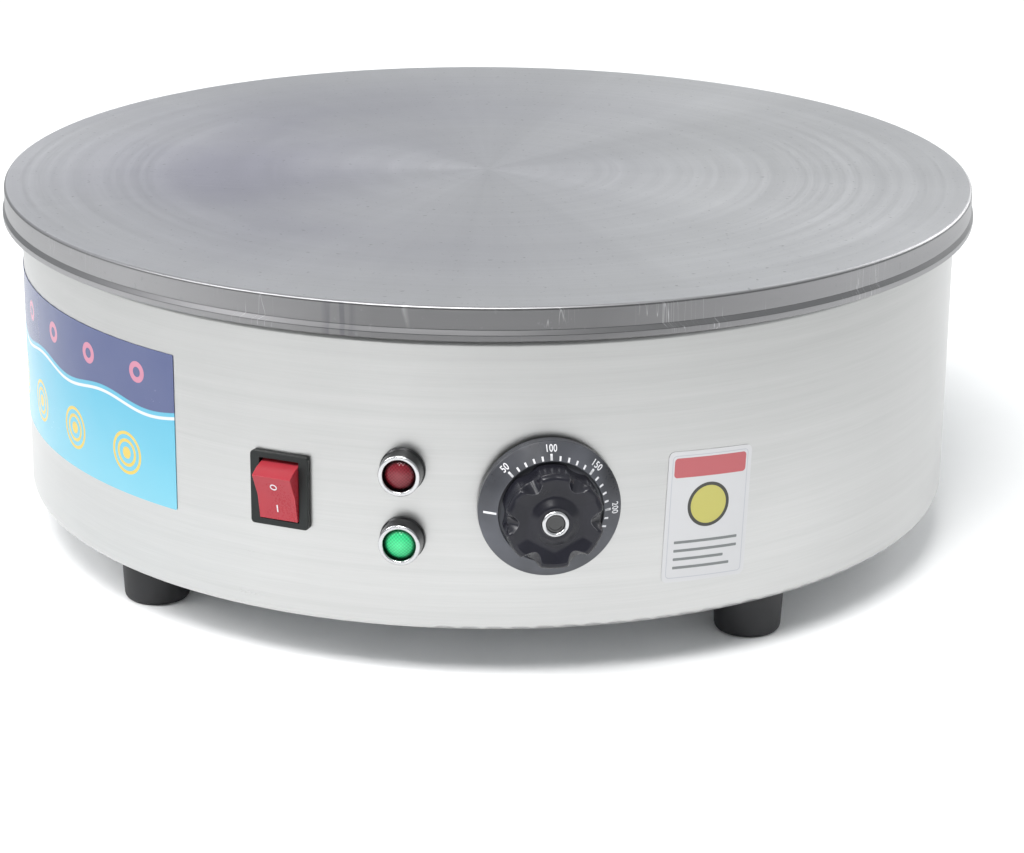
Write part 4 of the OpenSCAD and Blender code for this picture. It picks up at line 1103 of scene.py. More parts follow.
@cache
def lathe() -> Tree:
    """Builds the tree that turns an outline round its axis, with each corner rounded by its own radius.

    Returns:
        The group's tree.
    """
    net, given = Net.group("lathe", {
        "Outline": "Geometry", "Segments": 96, "Corner steps": 4, "Finish": "Material"}, "GeometryNodeTree")
    far = 1.0
    rounded = net.get("GeometryNodeFilletCurve", {
        "Curve": given["Outline"], "Radius": net.get("GeometryNodeInputRadius"), "Limit Radius": True,
        "Count": given["Corner steps"]}, mode="POLY")
    outline = net.get("GeometryNodeTransform", {"Geometry": rounded, "Translation": (-far, 0.0, 0.0)})
    circle = net.get("GeometryNodeCurvePrimitiveCircle", {"Resolution": given["Segments"], "Radius": far})
    swept = net.get("GeometryNodeCurveToMesh", {"Curve": circle, "Profile Curve": outline})
    closed = net.get("GeometryNodeMergeByDistance", {"Geometry": swept, "Distance": SAME_SPOT})
    return net.close(Turned=net.solid(closed, given["Finish"]))


@cache
def round_the_axis() -> Tree:
    """Builds the tree that repeats a piece round an axis, over a whole turn or part of one.

    Returns:
        The group's tree.
    """
    net, given = Net.group("round_the_axis", {
        "Piece": "Geometry", "Count": 6, "Radius": 10 * MM, "First angle": 0.0, "Step angle": 60.0,
        "Finish": "Material"}, "GeometryNodeTree")
    points = net.get("GeometryNodePoints", {"Count": given["Count"]})
    steps = net.get("GeometryNodeInputIndex") * given["Step angle"]
    angle = net.calc("RADIANS", given["First angle"] + steps)
    place = net.join(net.calc("SINE", angle) * given["Radius"], net.calc("COSINE", angle) * given["Radius"],
                     0.0)
    set_out = net.get("GeometryNodeSetPosition", {"Geometry": points, "Position": place})
    facing = net.get("FunctionNodeEulerToRotation", {0: net.join(0.0, 0.0, angle * -1.0)})
    copies = net.get("GeometryNodeInstanceOnPoints", {
        "Points": set_out, "Instance": given["Piece"], "Rotation": facing})
    return net.close(Repeated=net.solid(copies, given["Finish"]))


def run_tree(thing: Object, tree: Tree, slot: str, sizes: dict[str, object]) -> Object:
    """Shapes an object with a geometry tree.

    Args:
        thing: The object, which is removed.
        tree: The tree.
        slot: The finish that it sets.
        sizes: The inputs' values by their names.

    Returns:
        The shaped piece, a plain mesh.
    """
    modifier = thing.modifiers.new(tree.name, "NODES")
    modifier.node_group = tree
    values = {**sizes, "Finish": FINISH[slot].material()}
    for socket in tree.interface.items_tree:
        if socket.in_out == "INPUT" and socket.name in values:
            modifier[socket.identifier] = values[socket.name]
    return plain_mesh(thing)


def turned_piece(slot: str, outline: Outline, segments: int = 96) -> Object:
    """Turns an outline round the z axis.

    Args:
        slot: The piece's finish.
        outline: Its corners as radius, height and rounding, in order, closed.
        segments: The number of steps round the axis.

    Returns:
        The piece, a plain mesh.
    """
    curve = bpy.data.curves.new("outline", "CURVE")
    curve.dimensions = "3D"
    line = curve.splines.new("POLY")
    line.points.add(len(outline) - 1)
    for point, corner in zip(line.points, outline):
        radius, height, point.radius = metres(*corner)
        point.co = (radius, -height, 0.0, 1.0)
    line.use_cyclic_u = True
    return run_tree(added(curve), lathe(), slot, {"Segments": segments})


def repeated(thing: Object, slot: str, count: int, radius: float, first: float, step: float) -> Object:
    """Repeats a piece round the z axis, clockwise from the y axis as seen from above.

    Args:
        thing: The piece to repeat, which is removed.
        slot: Its finish.
        count: How many there are.
        radius: How far they are from the axis.
        first: The first one's angle, in degrees.
        step: The angle from one to the next.

    Returns:
        The new piece, a plain mesh.
    """
    return run_tree(thing, round_the_axis(), slot, {
        "Count": count, "Radius": radius * MM, "First angle": first, "Step angle": step})


def ring(shape: Shape, points: Iterable[Triple]) -> Ring:
    """Adds corners in millimetres to a shape."""
    return [shape.verts.new(metres(*point)) for point in points]


def wrap(shape: Shape, rings: list[Ring], closed: bool = True) -> None:
    """Joins rings or rows of corners with faces, each to the next.

    Args:
        shape: The shape.
        rings: The rings, all with as many corners.
        closed: Whether each goes all the way round.
    """
    for first, second in zip(rings, rings[1:]):
        for k in range(len(first) if closed else len(first) - 1):
            after = (k + 1) % len(first)
            shape.faces.new((first[k], first[after], second[after], second[k]))


def shaped(shape: Shape, rounding: float = 0.0, steps: int = 3, crease: float = 30.0) -> Object:
    """Makes an object of a built shape, with its sharp edges rounded.

    Args:
        shape: The shape, which is freed.
        rounding: The radius of its edges, or 0.
        steps: The number of steps in a rounded edge.
        crease: The angle between faces above which an edge is rounded, in degrees.

    Returns:
        The piece, a plain mesh.
    """
    mesh = bpy.data.meshes.new("shape")
    shape.to_mesh(mesh)
    shape.free()
    thing = added(mesh)
    if rounding > 0.0:
        bevel = thing.modifiers.new("edges", "BEVEL")
        bevel.width, bevel.segments = rounding * MM, steps
        bevel.limit_method, bevel.angle_limit = "ANGLE", math.radians(crease)
        bevel.use_clamp_overlap = True
    return plain_mesh(thing)


def slab(half: float, near: float, far: float, low: float, high: float, rounding: float, steps: int
         ) -> Object:
    """Makes a flat bar that lies along the y axis, with rounded edges.

    Args:
        half: Half its width.
        near: Its one end.
        far: Its other end.
        low: Its lower face's height.
        high: Its upper face's height.
        rounding: The radius of its edges.
        steps: The number of steps in a rounded edge.

    Returns:
        The bar, a plain mesh.
    """
    shape = bmesh.new()
    corners = [(-half, near), (half, near), (half, far), (-half, far)]
    faces = [ring(shape, ((*corner, z) for corner in corners)) for z in (low, high)]
    wrap(shape, faces)
    for face in faces:
        shape.faces.new(face)
    bmesh.ops.recalc_face_normals(shape, faces=shape.faces)
    return shaped(shape, rounding, steps)


def joined(parts: list[Object]) -> Object:
    """Joins plain meshes into one.

    Args:
        parts: The meshes, which are removed.

    Returns:
        The whole, a plain mesh.
    """
    shape = bmesh.new()
    for part in parts:
        shape.from_mesh(part.data)
        bpy.data.objects.remove(part)
    return shaped(shape)


def from_cad(node: str, rounding: float, steps: int) -> Object:
    """Copies a CAD node, merges its loose triangles into whole faces and rounds its edges.

    Args:
        node: The CAD node.
        rounding: The radius of its edges.
        steps: The number of steps in a rounded edge.

    Returns:
        The copy, a plain mesh.
    """
    shape = bmesh.new()
    shape.from_mesh(frame["nodes"][node].data)
    bmesh.ops.remove_doubles(shape, verts=shape.verts, dist=SAME_SPOT)
    bmesh.ops.dissolve_limit(shape, angle_limit=math.radians(0.5), verts=shape.verts, edges=shape.edges)
    return shaped(shape, rounding, steps, 35.0)


def arc(centre: Flat, radius: float, first: float, last: float, steps: int) -> Outline:
    """Gives points on an arc in an outline.

    Args:
        centre: Its middle, as radius and height.
        radius: Its own radius.
        first: Its first angle in degrees.
        last: Its last angle.
        steps: The number of steps.

    Returns:
        The points.
    """
    angles = [math.radians(first + (last - first) * step / steps) for step in range(steps + 1)]
    return [(centre[0] + radius * math.cos(a), centre[1] + radius * math.sin(a), 0.0) for a in angles]


def soft_least(first: float, second: float, softness: float) -> float:
    """Gives the smaller of two lengths, rounded where they differ by less than a softness."""
    share = max(0.0, min(1.0, 0.5 + 0.5 * (second - first) / softness))
    return second + (first - second) * share - softness * share * (1.0 - share)


def mark_from_middle(piece: Object, share_at: Callable[[Vector], float]) -> None:
    """Writes the attribute that a chrome or lens finish reads.

    Args:
        piece: The piece, a plain mesh.
        share_at: Gives the attribute's value at a place in millimetres.
    """
    marks = piece.data.attributes.new(FROM_MIDDLE, "FLOAT", "POINT")
    for mark, vert in zip(marks.data, piece.data.vertices):
        mark.value = share_at(vert.co / MM)


def dressed(*nodes: str) -> None:
    """Gives CAD nodes that stay the finish that the record names for them.

    Args:
        nodes: The nodes.
    """
    for name in nodes:
        paint(frame["nodes"][name], SLOTS[name])
        log.info("%s: %s", name, SLOTS[name])


@dataclass
class Places:
    """Where things are on the drum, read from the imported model."""

    drum_r: float
    knob_turn: float
    knob_high: float
    switch_turn: float
    pivot_r: float

    @classmethod
    def from_frame(cls) -> "Places":
        """Reads the drum's radius and the places of the knob and the switch.

        Returns:
            The places.
        """
        low, high = box_mm("drum_shell")
        joints = {joint["name"]: joint for joint in frame["joints"]}
        knob, rocker = joints["knob_turn"], joints["rocker_tilt"]
        return cls(
            drum_r=(high[0] - low[0]) / 2,
            knob_turn=math.degrees(math.atan2(knob["axis"][0], -knob["axis"][1])),
            knob_high=knob["pos_m"][2] / MM,
            switch_turn=math.degrees(math.atan2(-rocker["axis"][1], -rocker["axis"][0])),
            pivot_r=math.hypot(*rocker["pos_m"][:2]) / MM)

    def seat(self, turn: float, height: float) -> Matrix:
        """Gives the axes of a place on the wall: x to the right, y up and z out of the drum.

        Args:
            turn: The place round the drum, from the front, in degrees.
            height: The height above the floor.

        Returns:
            The matrix from those axes to the frame.
        """
        return turned(turn, "Z") @ moved(0.0, -self.drum_r, height) @ turned(90.0, "X")


@dataclass
class Plate:
    """The turned cooking plate, with its stepped rim and the grooves for the heating rings."""

    band_high: float = 2.5
    band_slope: float = 1.9
    band_step: float = 0.9
    top_edge: float = 1.4
    shoulder: float = 0.8
    groove_r: float = 4.55
    groove_deep: float = 3.0
    ring_radii: tuple[float, ...] = (60.0, 105.0, 150.0)
    flat_rings: tuple[float, ...] = (6.0, 60.0)
    segments: int = 288

    def outline(self) -> Outline:
        """Draws the plate's section, from the middle of its underside round to the middle of its top.

        Returns:
            The outline.
        """
        low, high = box_mm("griddle_plate")
        under, top, edge = low[2], high[2], (high[0] - low[0]) / 2
        inner, slope = edge - self.band_step, under + self.band_high
        points: Outline = [(0.0, under, 0.0)]
        for radius in self.ring_radii:
            centre = under + self.groove_deep - self.groove_r
            opening = math.degrees(math.asin((under - centre) / self.groove_r))
            points += arc((radius, centre), self.groove_r, 180 - opening, opening, 10)
        points += [
            (edge, under, self.shoulder), (edge, slope, self.shoulder),
            (inner, slope + self.band_slope, self.shoulder), (inner, top, self.top_edge)]
        return points + [(inner - step, top, 0.0) for step in self.flat_rings] + [(0.0, top, 0.0)]

    def build(self) -> None:
        """Makes the plate and dresses what fixes it to the drum."""
        settled(turned_piece("plate_iron", self.outline(), self.segments), "turned_plate", "plate_iron",
                stands_for=("griddle_plate",))
        dressed("rim_gasket", "plate_bolts", "plate_washers")


@dataclass
class Screws:
    """A circle of pan-headed screws with cross recesses, that go up from their seats."""

    name: str
    node: str
    slot: str
    head_r: float
    head_high: float
    stem_r: float
    stem_long: float
    count: int
    circle_r: float
    first: float
    middle_y: float = 0.0
    steps: int = 28
    tip_share: float = 0.35
    point_share: float = 0.8
    arm_share: float = 0.6
    slot_share: float = 0.13
    recess_narrow: float = 0.7
    recess_deep: float = 0.4
    head_rings: tuple[Flat, ...] = ((1.0, 0.0), (1.0, 0.4), (0.97, 0.62), (0.88, 0.85), (0.74, 1.0))

    def screw(self) -> Object:
        """Makes one screw with its seat at the origin.

        Returns:
            The screw, a plain mesh.
        """
        shape = bmesh.new()
        arm, half = self.arm_share * self.head_r, self.slot_share * self.head_r
        # Complex numbers, which a factor of 1j turns by a quarter
        quarter = (complex(arm, -half), complex(arm, half), complex(half, half))
        cross = [corner * 1j ** turn for turn in range(4) for corner in quarter]
        round_ = [complex(math.cos(turn), math.sin(turn))
                  for turn in (math.tau * k / self.steps for k in range(self.steps))]
        tip = self.stem_long - self.point_share * self.stem_r
        stem = ((self.tip_share * self.stem_r, self.stem_long), (self.stem_r, tip), (self.stem_r, 0.0))
        head = ((gain * self.head_r, -down * self.head_high) for gain, down in self.head_rings)
        hollow = ((1.0, -self.head_high), (self.recess_narrow, -self.recess_deep * self.head_high))
        outside, recess = (
            [ring(shape, ((gain * spot.real, gain * spot.imag, z) for spot in spots)) for gain, z in rows]
            for spots, rows in ((round_, (*stem, *head)), (cross, hollow)))
        wrap(shape, outside)
        shape.faces.new(outside[0])
        wrap(shape, recess)
        shape.faces.new(recess[-1])
        rims = [edge for edge in shape.edges if edge.is_boundary]
        bmesh.ops.triangle_fill(shape, edges=rims, use_beauty=True)
        bmesh.ops.recalc_face_normals(shape, faces=shape.faces)
        return shaped(shape)

    def build(self, seat_high: float) -> None:
        """Makes the screws.

        Args:
            seat_high: The height of their seats above the floor.
        """
        screws = repeated(self.screw(), self.slot, self.count, self.circle_r, self.first, 360.0 / self.count)
        settled(screws, self.name, self.slot, stands_for=(self.node,),
                seat=moved(0.0, self.middle_y, seat_high))


@dataclass
class Drum:
    """The steel drum with its riveted lap, its cover, feet and screws."""

    cover_screws: Screws
    foot_screws: Screws
    block_screws: Screws
    foot_top_r: float = 14.0
    foot_low_r: float = 12.87
    foot_edge: float = 2.5
    well_r: float = 6.3
    well_high: float = 10.0
    hole_r: float = 2.8
    treads: tuple[float, ...] = (7.5, 9.2)
    tread_wide: float = 0.8
    tread_deep: float = 0.6
    washer_thick: float = 1.2

    def foot(self, high: float) -> Outline:
        """Draws a foot's section up to a height, with rings of tread in its sole.

        Args:
            high: The foot's height.

        Returns:
            The outline.
        """
        points: Outline = [(self.hole_r, high, 0.0), (self.hole_r, self.well_high, 0.2),
                           (self.well_r, self.well_high, 0.3), (self.well_r, 0.0, 0.5)]
        for inner in self.treads:
            outer = inner + self.tread_wide
            points += [(inner, 0.0, 0.1), (inner, self.tread_deep, 0.1), (outer, self.tread_deep, 0.1),
                       (outer, 0.0, 0.1)]
        return points + [(self.foot_low_r, 0.0, self.foot_edge), (self.foot_top_r, high, 0.4)]

    def build(self) -> None:
        """Makes the feet and the screws, and dresses the sheet metal."""
        dressed("drum_shell", "seam_rivets", "base_cover", "foot_washers", "foot_nuts")
        under = box_mm("rubber_feet")[1][2]
        foot, screws = turned_piece("foot_rubber", self.foot(under), 72), self.foot_screws
        feet = repeated(foot, "foot_rubber", screws.count, screws.circle_r, screws.first, 360 / screws.count)
        settled(feet, "moulded_feet", "foot_rubber", stands_for=("rubber_feet",))
        self.cover_screws.build(under)
        self.foot_screws.build(self.well_high - self.washer_thick)
        self.block_screws.build(under)


@dataclass
class Switch:
    """The rocker switch: a black housing with its bezel, and a red rocker with white marks."""

    places: Places
    rocker_half: float = 9.7
    rocker_rise: float = 7.0
    hollow: float = 1.2
    tilt: float = 18.0
    ring_r: float = 1.4
    ring_bore_r: float = 0.95
    bar_half: float = 1.5
    bar_half_wide: float = 0.25
    mark_thick: float = 0.12

    def marks(self) -> Object:
        """Makes the white ring and bar on the rocker's two halves.

        Returns:
            The marks, a plain mesh.
        """
        slope, edge = math.degrees(math.atan2(self.hollow, self.rocker_half)), 0.05
        circle = turned_piece(WHITE_INK, [
            (self.ring_bore_r, 0.0, 0.0), (self.ring_r, 0.0, 0.0), (self.ring_r, self.mark_thick, edge),
            (self.ring_bore_r, self.mark_thick, edge)], 40)
        bar = slab(self.bar_half_wide, -self.bar_half, self.bar_half, 0.0, self.mark_thick, edge, 2)
        lift = self.rocker_rise - self.hollow / 2
        for mark, side in ((circle, 1.0), (bar, -1.0)):
            mark.data.transform(moved(0.0, side * self.rocker_half / 2, lift) @ turned(side * slope, "X"))
        return joined([circle, bar])

    def build(self) -> None:
        """Makes the housing, the rocker and its marks, and dresses the metal inside."""
        settled(from_cad("switch_housing", 0.35, 3), "switch_case", "switch_black",
                stands_for=("switch_housing",))
        settled(from_cad("switch_rocker", 0.45, 3), "red_rocker", "rocker_red", Body.ROCKER,
                ("switch_rocker",))
        seat = (self.places.seat(self.places.switch_turn, self.places.knob_high)
                @ moved(0.0, 0.0, self.places.pivot_r - self.places.drum_r) @ turned(self.tilt, "X"))
        settled(self.marks(), "rocker_marks", WHITE_INK, Body.ROCKER, seat=seat)
        dressed("switch_plungers", "switch_bridges", "switch_terminals")


@dataclass
class Lamps:
    """The two lamps: a chrome bezel round a domed lens each."""

    places: Places
    foot_r: float = 8.5
    foot_thick: float = 1.0
    cone_r: float = 8.1
    front_r: float = 7.8
    lens_r: float = 6.0
    reach: float = 8.0
    neck_r: float = 5.0
    floor_high: float = 1.5
    gap: float = 0.1
    dome_r: float = 9.0
    dome_edge: float = 5.8
    # The depths below the bezel's front at which its painted dark reflection begins and is full
    dark_reflection_from: float = 0.15
    dark_reflection_to: float = 0.75

    def bezel(self) -> Object:
        """Makes a bezel on the z axis, a shallow cone with a foot ring and a bright rolled lip.

        Returns:
            The bezel, a plain mesh.
        """
        bore, fine = self.lens_r + self.gap, 0.05
        bezel = turned_piece("bezel_chrome", [
            (self.neck_r, self.gap, fine), (self.foot_r, self.gap, 0.2),
            (self.foot_r, self.gap + self.foot_thick, 0.35), (self.cone_r, 1.8, 0.3),
            (self.front_r, self.reach, 0.7), (bore, self.reach, 0.6), (bore, self.floor_high, fine),
            (self.neck_r, self.floor_high, fine)], 128)
        # Painted dark reflection down the bezel's side, below its lip
        deep = self.dark_reflection_to - self.dark_reflection_from
        mark_from_middle(bezel, lambda spot: max(0.0, min(
            1.0, (self.reach - self.dark_reflection_from - spot.z) / deep)))
        return bezel

    def lens(self, slot: str) -> Object:
        """Makes a lens on the z axis, with its dome.

        Args:
            slot: Its finish.

        Returns:
            The lens, a plain mesh.
        """
        centre = self.dome_edge - math.sqrt(self.dome_r ** 2 - self.lens_r ** 2)
        edge = math.degrees(math.acos(self.lens_r / self.dome_r))
        low = self.floor_high + self.gap
        lens = turned_piece(slot, [
            (0.0, low, 0.0), (self.lens_r, low, 0.1), (self.lens_r, self.dome_edge - 0.3, 0.0),
            *arc((0.0, centre), self.dome_r, edge + 1.0, 89.9, 16), (0.0, centre + self.dome_r, 0.0)])
        mark_from_middle(lens, lambda spot: math.hypot(spot.x, spot.y) / self.lens_r)
        return lens

    def build(self) -> None:
        """Makes both bezels and both lenses, and dresses what is behind them."""
        bezels = []
        for node, slot in (("red_lens", "lens_red"), ("green_lens", "lens_green")):
            low, high = box_mm(node)
            turn = math.degrees(math.atan2(low[0] + high[0], -low[1] - high[1]))
            seat = self.places.seat(turn, (low[2] + high[2]) / 2)
            settled(self.lens(slot), f"domed_{node}", slot, stands_for=(node,), seat=seat)
            bezels.append(self.bezel())
            bezels[-1].data.transform(seat)
        settled(joined(bezels), "chrome_bezels", "bezel_chrome", stands_for=("lamp_bezels",))
        dressed("lamp_bodies", "lamp_nuts", "lamp_terminals", "lamp_bulbs")


@dataclass
class Dial:
    """The knob's skirt with its scale of ticks, its line for off and its numbers."""

    skirt_r: float = 26.2
    gap: float = 1.4
    lip_top: float = 5.0
    slope_r: float = 25.9
    well_r: float = 19.2
    well_top: float = 8.9
    well_floor: float = 6.9
    wall: float = 1.6
    hub_r: float = 6.9
    socket_r: float = 8.1
    socket_high: float = 3.4
    ink_thick: float = 0.06
    ink_sunk: float = 0.03
    first_tick: float = -45.0
    last_tick: float = 108.0
    tick_step: float = 9.0
    number_step: float = 45.0
    off_turn: float = -90.0
    tick: Triple = (0.36, 19.75, 21.3)
    long_tick: Triple = (0.42, 19.75, 21.9)
    off_line: Triple = (0.4, 19.9, 24.4)
    figure_high: float = 3.9
    figure_r: float = 23.65
    narrow: float = 0.74

    @property
    def lean(self) -> float:
        """Gives the cone's slope, in radians."""
        return math.atan2(self.well_top - self.lip_top, self.slope_r - self.well_r)

    def slope_at(self, radius: float) -> float:
        """Gives the height of the skirt's cone at a radius."""
        share = (self.slope_r - radius) / (self.slope_r - self.well_r)
        return self.lip_top + share * (self.well_top - self.lip_top)

    def skirt(self) -> Object:
        """Makes the skirt on the z axis.

        Returns:
            The skirt, a plain mesh.
        """
        inner, under, fine, soft = self.skirt_r - self.wall, self.well_floor - self.wall, 0.1, 0.3
        return turned_piece("skirt_black", [
            (self.hub_r, self.socket_high, fine), (self.hub_r, self.well_floor, fine),
            (self.well_r, self.well_floor, soft), (self.well_r, self.well_top, soft),
            (self.slope_r, self.lip_top, 0.4), (self.skirt_r, self.lip_top - 0.5, soft),
            (self.skirt_r, self.gap, 0.25), (inner, self.gap, 0.25), (inner, self.lip_top - 0.8, soft),
            (self.well_r - self.wall, under, soft), (self.socket_r, under, soft),
            (self.socket_r, self.socket_high, fine)], 160)

    def stroke(self, half: float, near: float, far: float) -> Object:
        """Makes one stroke of ink on the cone, at the top of the dial.

        Args:
            half: Half its width.
            near: Its end towards the middle.
            far: Its outer end.

        Returns:
            The stroke, a plain mesh.
        """
        length = (far - near) / math.cos(self.lean)
        flat = slab(half, 0.0, length, -self.ink_sunk, self.ink_thick, 0.02, 1)
        flat.data.transform(moved(0.0, near, self.slope_at(near)) @ Matrix.Rotation(-self.lean, 4, "X"))
        return flat

    def figures(self, text: str) -> Object:
        """Makes a number of ink on the cone, at the top of the dial.

        Args:
            text: The number.

        Returns:
            The number, a plain mesh.
        """
        line = bpy.data.curves.new("figures", "FONT")
        line.body, line.size, line.extrude = text, self.figure_high * MM, self.ink_thick * MM / 2
        line.align_x, line.align_y, line.offset = "CENTER", "CENTER", 0.04 * MM
        line.space_character = 1.05
        number = plain_mesh(added(line))
        for vert in number.data.vertices:
            x, y, z = vert.co / MM
            angle, radius = self.narrow * x / self.figure_r, self.figure_r + y * math.cos(self.lean)
            vert.co = metres(radius * math.sin(angle), radius * math.cos(angle),
                             self.slope_at(radius) + z + 0.02)
        return number

    def scale(self) -> Object:
        """Makes the white ticks, the line for off and the numbers, laid on the skirt's cone.

        Returns:
            The scale, a plain mesh.
        """
        reach = self.last_tick - self.first_tick
        numbers = round(reach / self.number_step) + 1
        parts = [
            repeated(self.stroke(*sizes), WHITE_INK, count, 0.0, first, step)
            for sizes, count, first, step in (
                (self.tick, round(reach / self.tick_step) + 1, self.first_tick, self.tick_step),
                (self.long_tick, numbers, self.first_tick, self.number_step),
                (self.off_line, 1, self.off_turn, 0.0))]
        for step in range(numbers):
            parts.append(self.figures(str(50 * (step + 1))))
            parts[-1].data.transform(turned(-self.first_tick - step * self.number_step, "Z"))
        return joined(parts)


@dataclass
class Knob:
    """The thermostat knob: a dial, a six-lobed grip and a chrome ring round a disc."""

    places: Places
    dial: Dial
    grip_r: float = 18.2
    front: float = 20.6
    bites: int = 6
    bite_r: float = 9.0
    bite_deep: float = 1.4
    edge_r: float = 2.2
    chamfer: float = 1.6
    boss_r: float = 10.2
    boss_top_r: float = 6.2
    dish_deep: float = 2.0
    cone_deep: float = 2.5
    rim: float = 1.6
    waist_low: float = 4.0
    waist_high: float = 6.0
    foot_edge: float = 0.2
    hub_high: float = 0.6
    shaft_r: float = 3.06
    shaft_deep: float = 4.7
    play: float = 0.1
    lip_wide: float = 0.12
    lip_high: float = 0.15
    boss_flat: float = 1.0
    cap_r: float = 5.0
    cap_low: float = 19.2
    cap_thick: float = 2.2
    disc_r: float = 3.3
    disc_sunk: float = 0.8
    dimple: float = 0.15
    around: int = 240
    boss_steps: int = 12
    face_steps: int = 14
    edge_steps: int = 6

    def reach(self, angle: float) -> float:
        """Gives the grip's radius, with soft edges between bites and lobes.

        Args:
            angle: The angle from a bite, in radians.

        Returns:
            The radius.
        """
        centre = self.grip_r + self.bite_r - self.bite_deep
        step = math.tau / self.bites
        off = (angle + step / 2) % step - step / 2
        under = self.bite_r ** 2 - (centre * math.sin(off)) ** 2
        if under <= 0.0:
            return self.grip_r
        return soft_least(centre * math.cos(off) - math.sqrt(under), self.grip_r, 0.6)

    def face_high(self, radius: float, angle: float) -> float:
        """Gives the height of the grip's face: six slopes that fall to a coned boss.

        Args:
            radius: The distance from the middle.
            angle: The angle from a bite, in radians.

        Returns:
            The height.
        """
        low = self.front - self.dish_deep
        rise = self.dish_deep / (self.grip_r - self.rim - self.boss_r)
        height = low
        for k in range(self.bites // 2):
            off = abs(radius * math.cos(angle - k * math.tau / self.bites))
            height = -soft_least(-height, -(low + rise * (off - self.boss_r)), 0.25)
        height = soft_least(height, self.front, 0.3)
        fall = self.cone_deep / (self.boss_r - self.boss_top_r)
        cone = self.front - (radius - self.boss_top_r) * fall
        return -soft_least(-height, -min(cone, self.front), 0.3)

    def section(self, angle: float) -> list[Flat]:
        """Draws the grip's section at an angle, from the cap's seat round to the end of the shaft's hole.

        Args:
            angle: The angle from a bite, in radians.

        Returns:
            The section's corners as radius and height.
        """
        reach, bore, start = self.reach(angle), self.cap_r + self.play, self.boss_r + self.boss_flat
        bitten = (self.grip_r - reach) / self.bite_deep
        edge = self.edge_r + bitten * self.chamfer
        face = [bore + self.lip_wide] + [bore + (start - bore) * k / self.boss_steps
                                         for k in range(1, self.boss_steps + 1)]
        face += [start + k / self.face_steps * (reach - edge - start) for k in range(1, self.face_steps + 1)]
        points = [(0.01, self.cap_low), (bore, self.cap_low), (bore, self.front - self.lip_high)]
        points += [(radius, self.face_high(radius, angle)) for radius in face]
        brink = self.face_high(reach - edge, angle)
        for share in (step / self.edge_steps for step in range(1, self.edge_steps + 1)):
            out, down = math.sin(share * math.pi / 2), 1.0 - math.cos(share * math.pi / 2)
            points.append((reach - edge * (1.0 - out + bitten * (out - share)),
                           brink - edge * (down + bitten * (share - down))))
        base, hub = self.dial.well_floor, self.dial.hub_r - self.play
        hollow = self.dial.gap + self.hub_high
        return points + [
            (reach, self.front - self.waist_high), (reach, base + self.waist_low),
            (reach, base + self.foot_edge), (reach - self.foot_edge, base), (hub, base), (hub, hollow),
            (self.shaft_r, hollow), (self.shaft_r, self.front - self.shaft_deep)]

    def grip(self) -> Object:
        """Makes the grip on the z axis, from its sections all round.

        Returns:
            The grip, a plain mesh.
        """
        shape = bmesh.new()
        angles = [math.tau * k / self.around for k in range(self.around)]
        rings = [ring(shape, ((radius * math.cos(a), radius * math.sin(a), high)
                              for a, (radius, high) in zip(angles, corners)))
                 for corners in zip(*map(self.section, angles))]
        wrap(shape, rings)
        for end in (rings[0], rings[-1]):
            shape.faces.new(end)
        return shaped(shape)

    def build(self) -> None:
        """Makes the knob's pieces and dresses its shaft and the thermostat."""
        band = self.cap_r - self.disc_r - self.play
        low, top = self.cap_low, self.cap_low + self.cap_thick
        floor, fine = top - self.disc_sunk, 0.1
        chrome = turned_piece("bezel_chrome", [
            (self.cap_r - band, low, fine), (self.cap_r, low, fine), (self.cap_r, top, band * 0.48),
            (self.cap_r - band, top, band * 0.48)])
        disc = turned_piece("cap_black", [
            (0.0, low, 0.0), (self.disc_r, low, fine), (self.disc_r, floor, 0.15),
            (self.disc_r - 0.7, floor, 0.05), (self.disc_r - 1.0, floor - self.dimple, 0.05),
            (0.0, floor - self.dimple, 0.0)], 72)
        seat = self.places.seat(self.places.knob_turn, self.places.knob_high)
        for piece, name, slot, nodes in (
                (self.dial.skirt(), "dial", "skirt_black", ("dial_skirt",)),
                (self.grip(), "lobed_grip", "knob_black", ("knob_grip",)),
                (chrome, "cap_ring", "bezel_chrome", ("knob_cap_ring",)),
                (disc, "cap_disc", "cap_black", ("knob_cap_disc",)),
                (self.dial.scale(), "dial_scale", WHITE_INK, ())):
            settled(piece, name, slot, Body.KNOB, nodes, seat)
        dressed("thermostat_body", "thermostat_flange", "thermostat_screws", "thermostat_terminals",
                "thermostat_shaft", "sensor_bulb")


@dataclass
class Gland:
    """The nylon gland at the back, through which the mains lead comes in."""

    rounding: float = 0.35

    def build(self) -> None:
        """Makes the parts that show with soft moulded edges, and dresses those inside."""
        for name, node in (("gland_collar", "gland_body"), ("gland_nut", "gland_cap")):
            settled(from_cad(node, self.rounding, 2), name, "gland_black", stands_for=(node,))
        dressed("gland_seal", "gland_locknut")


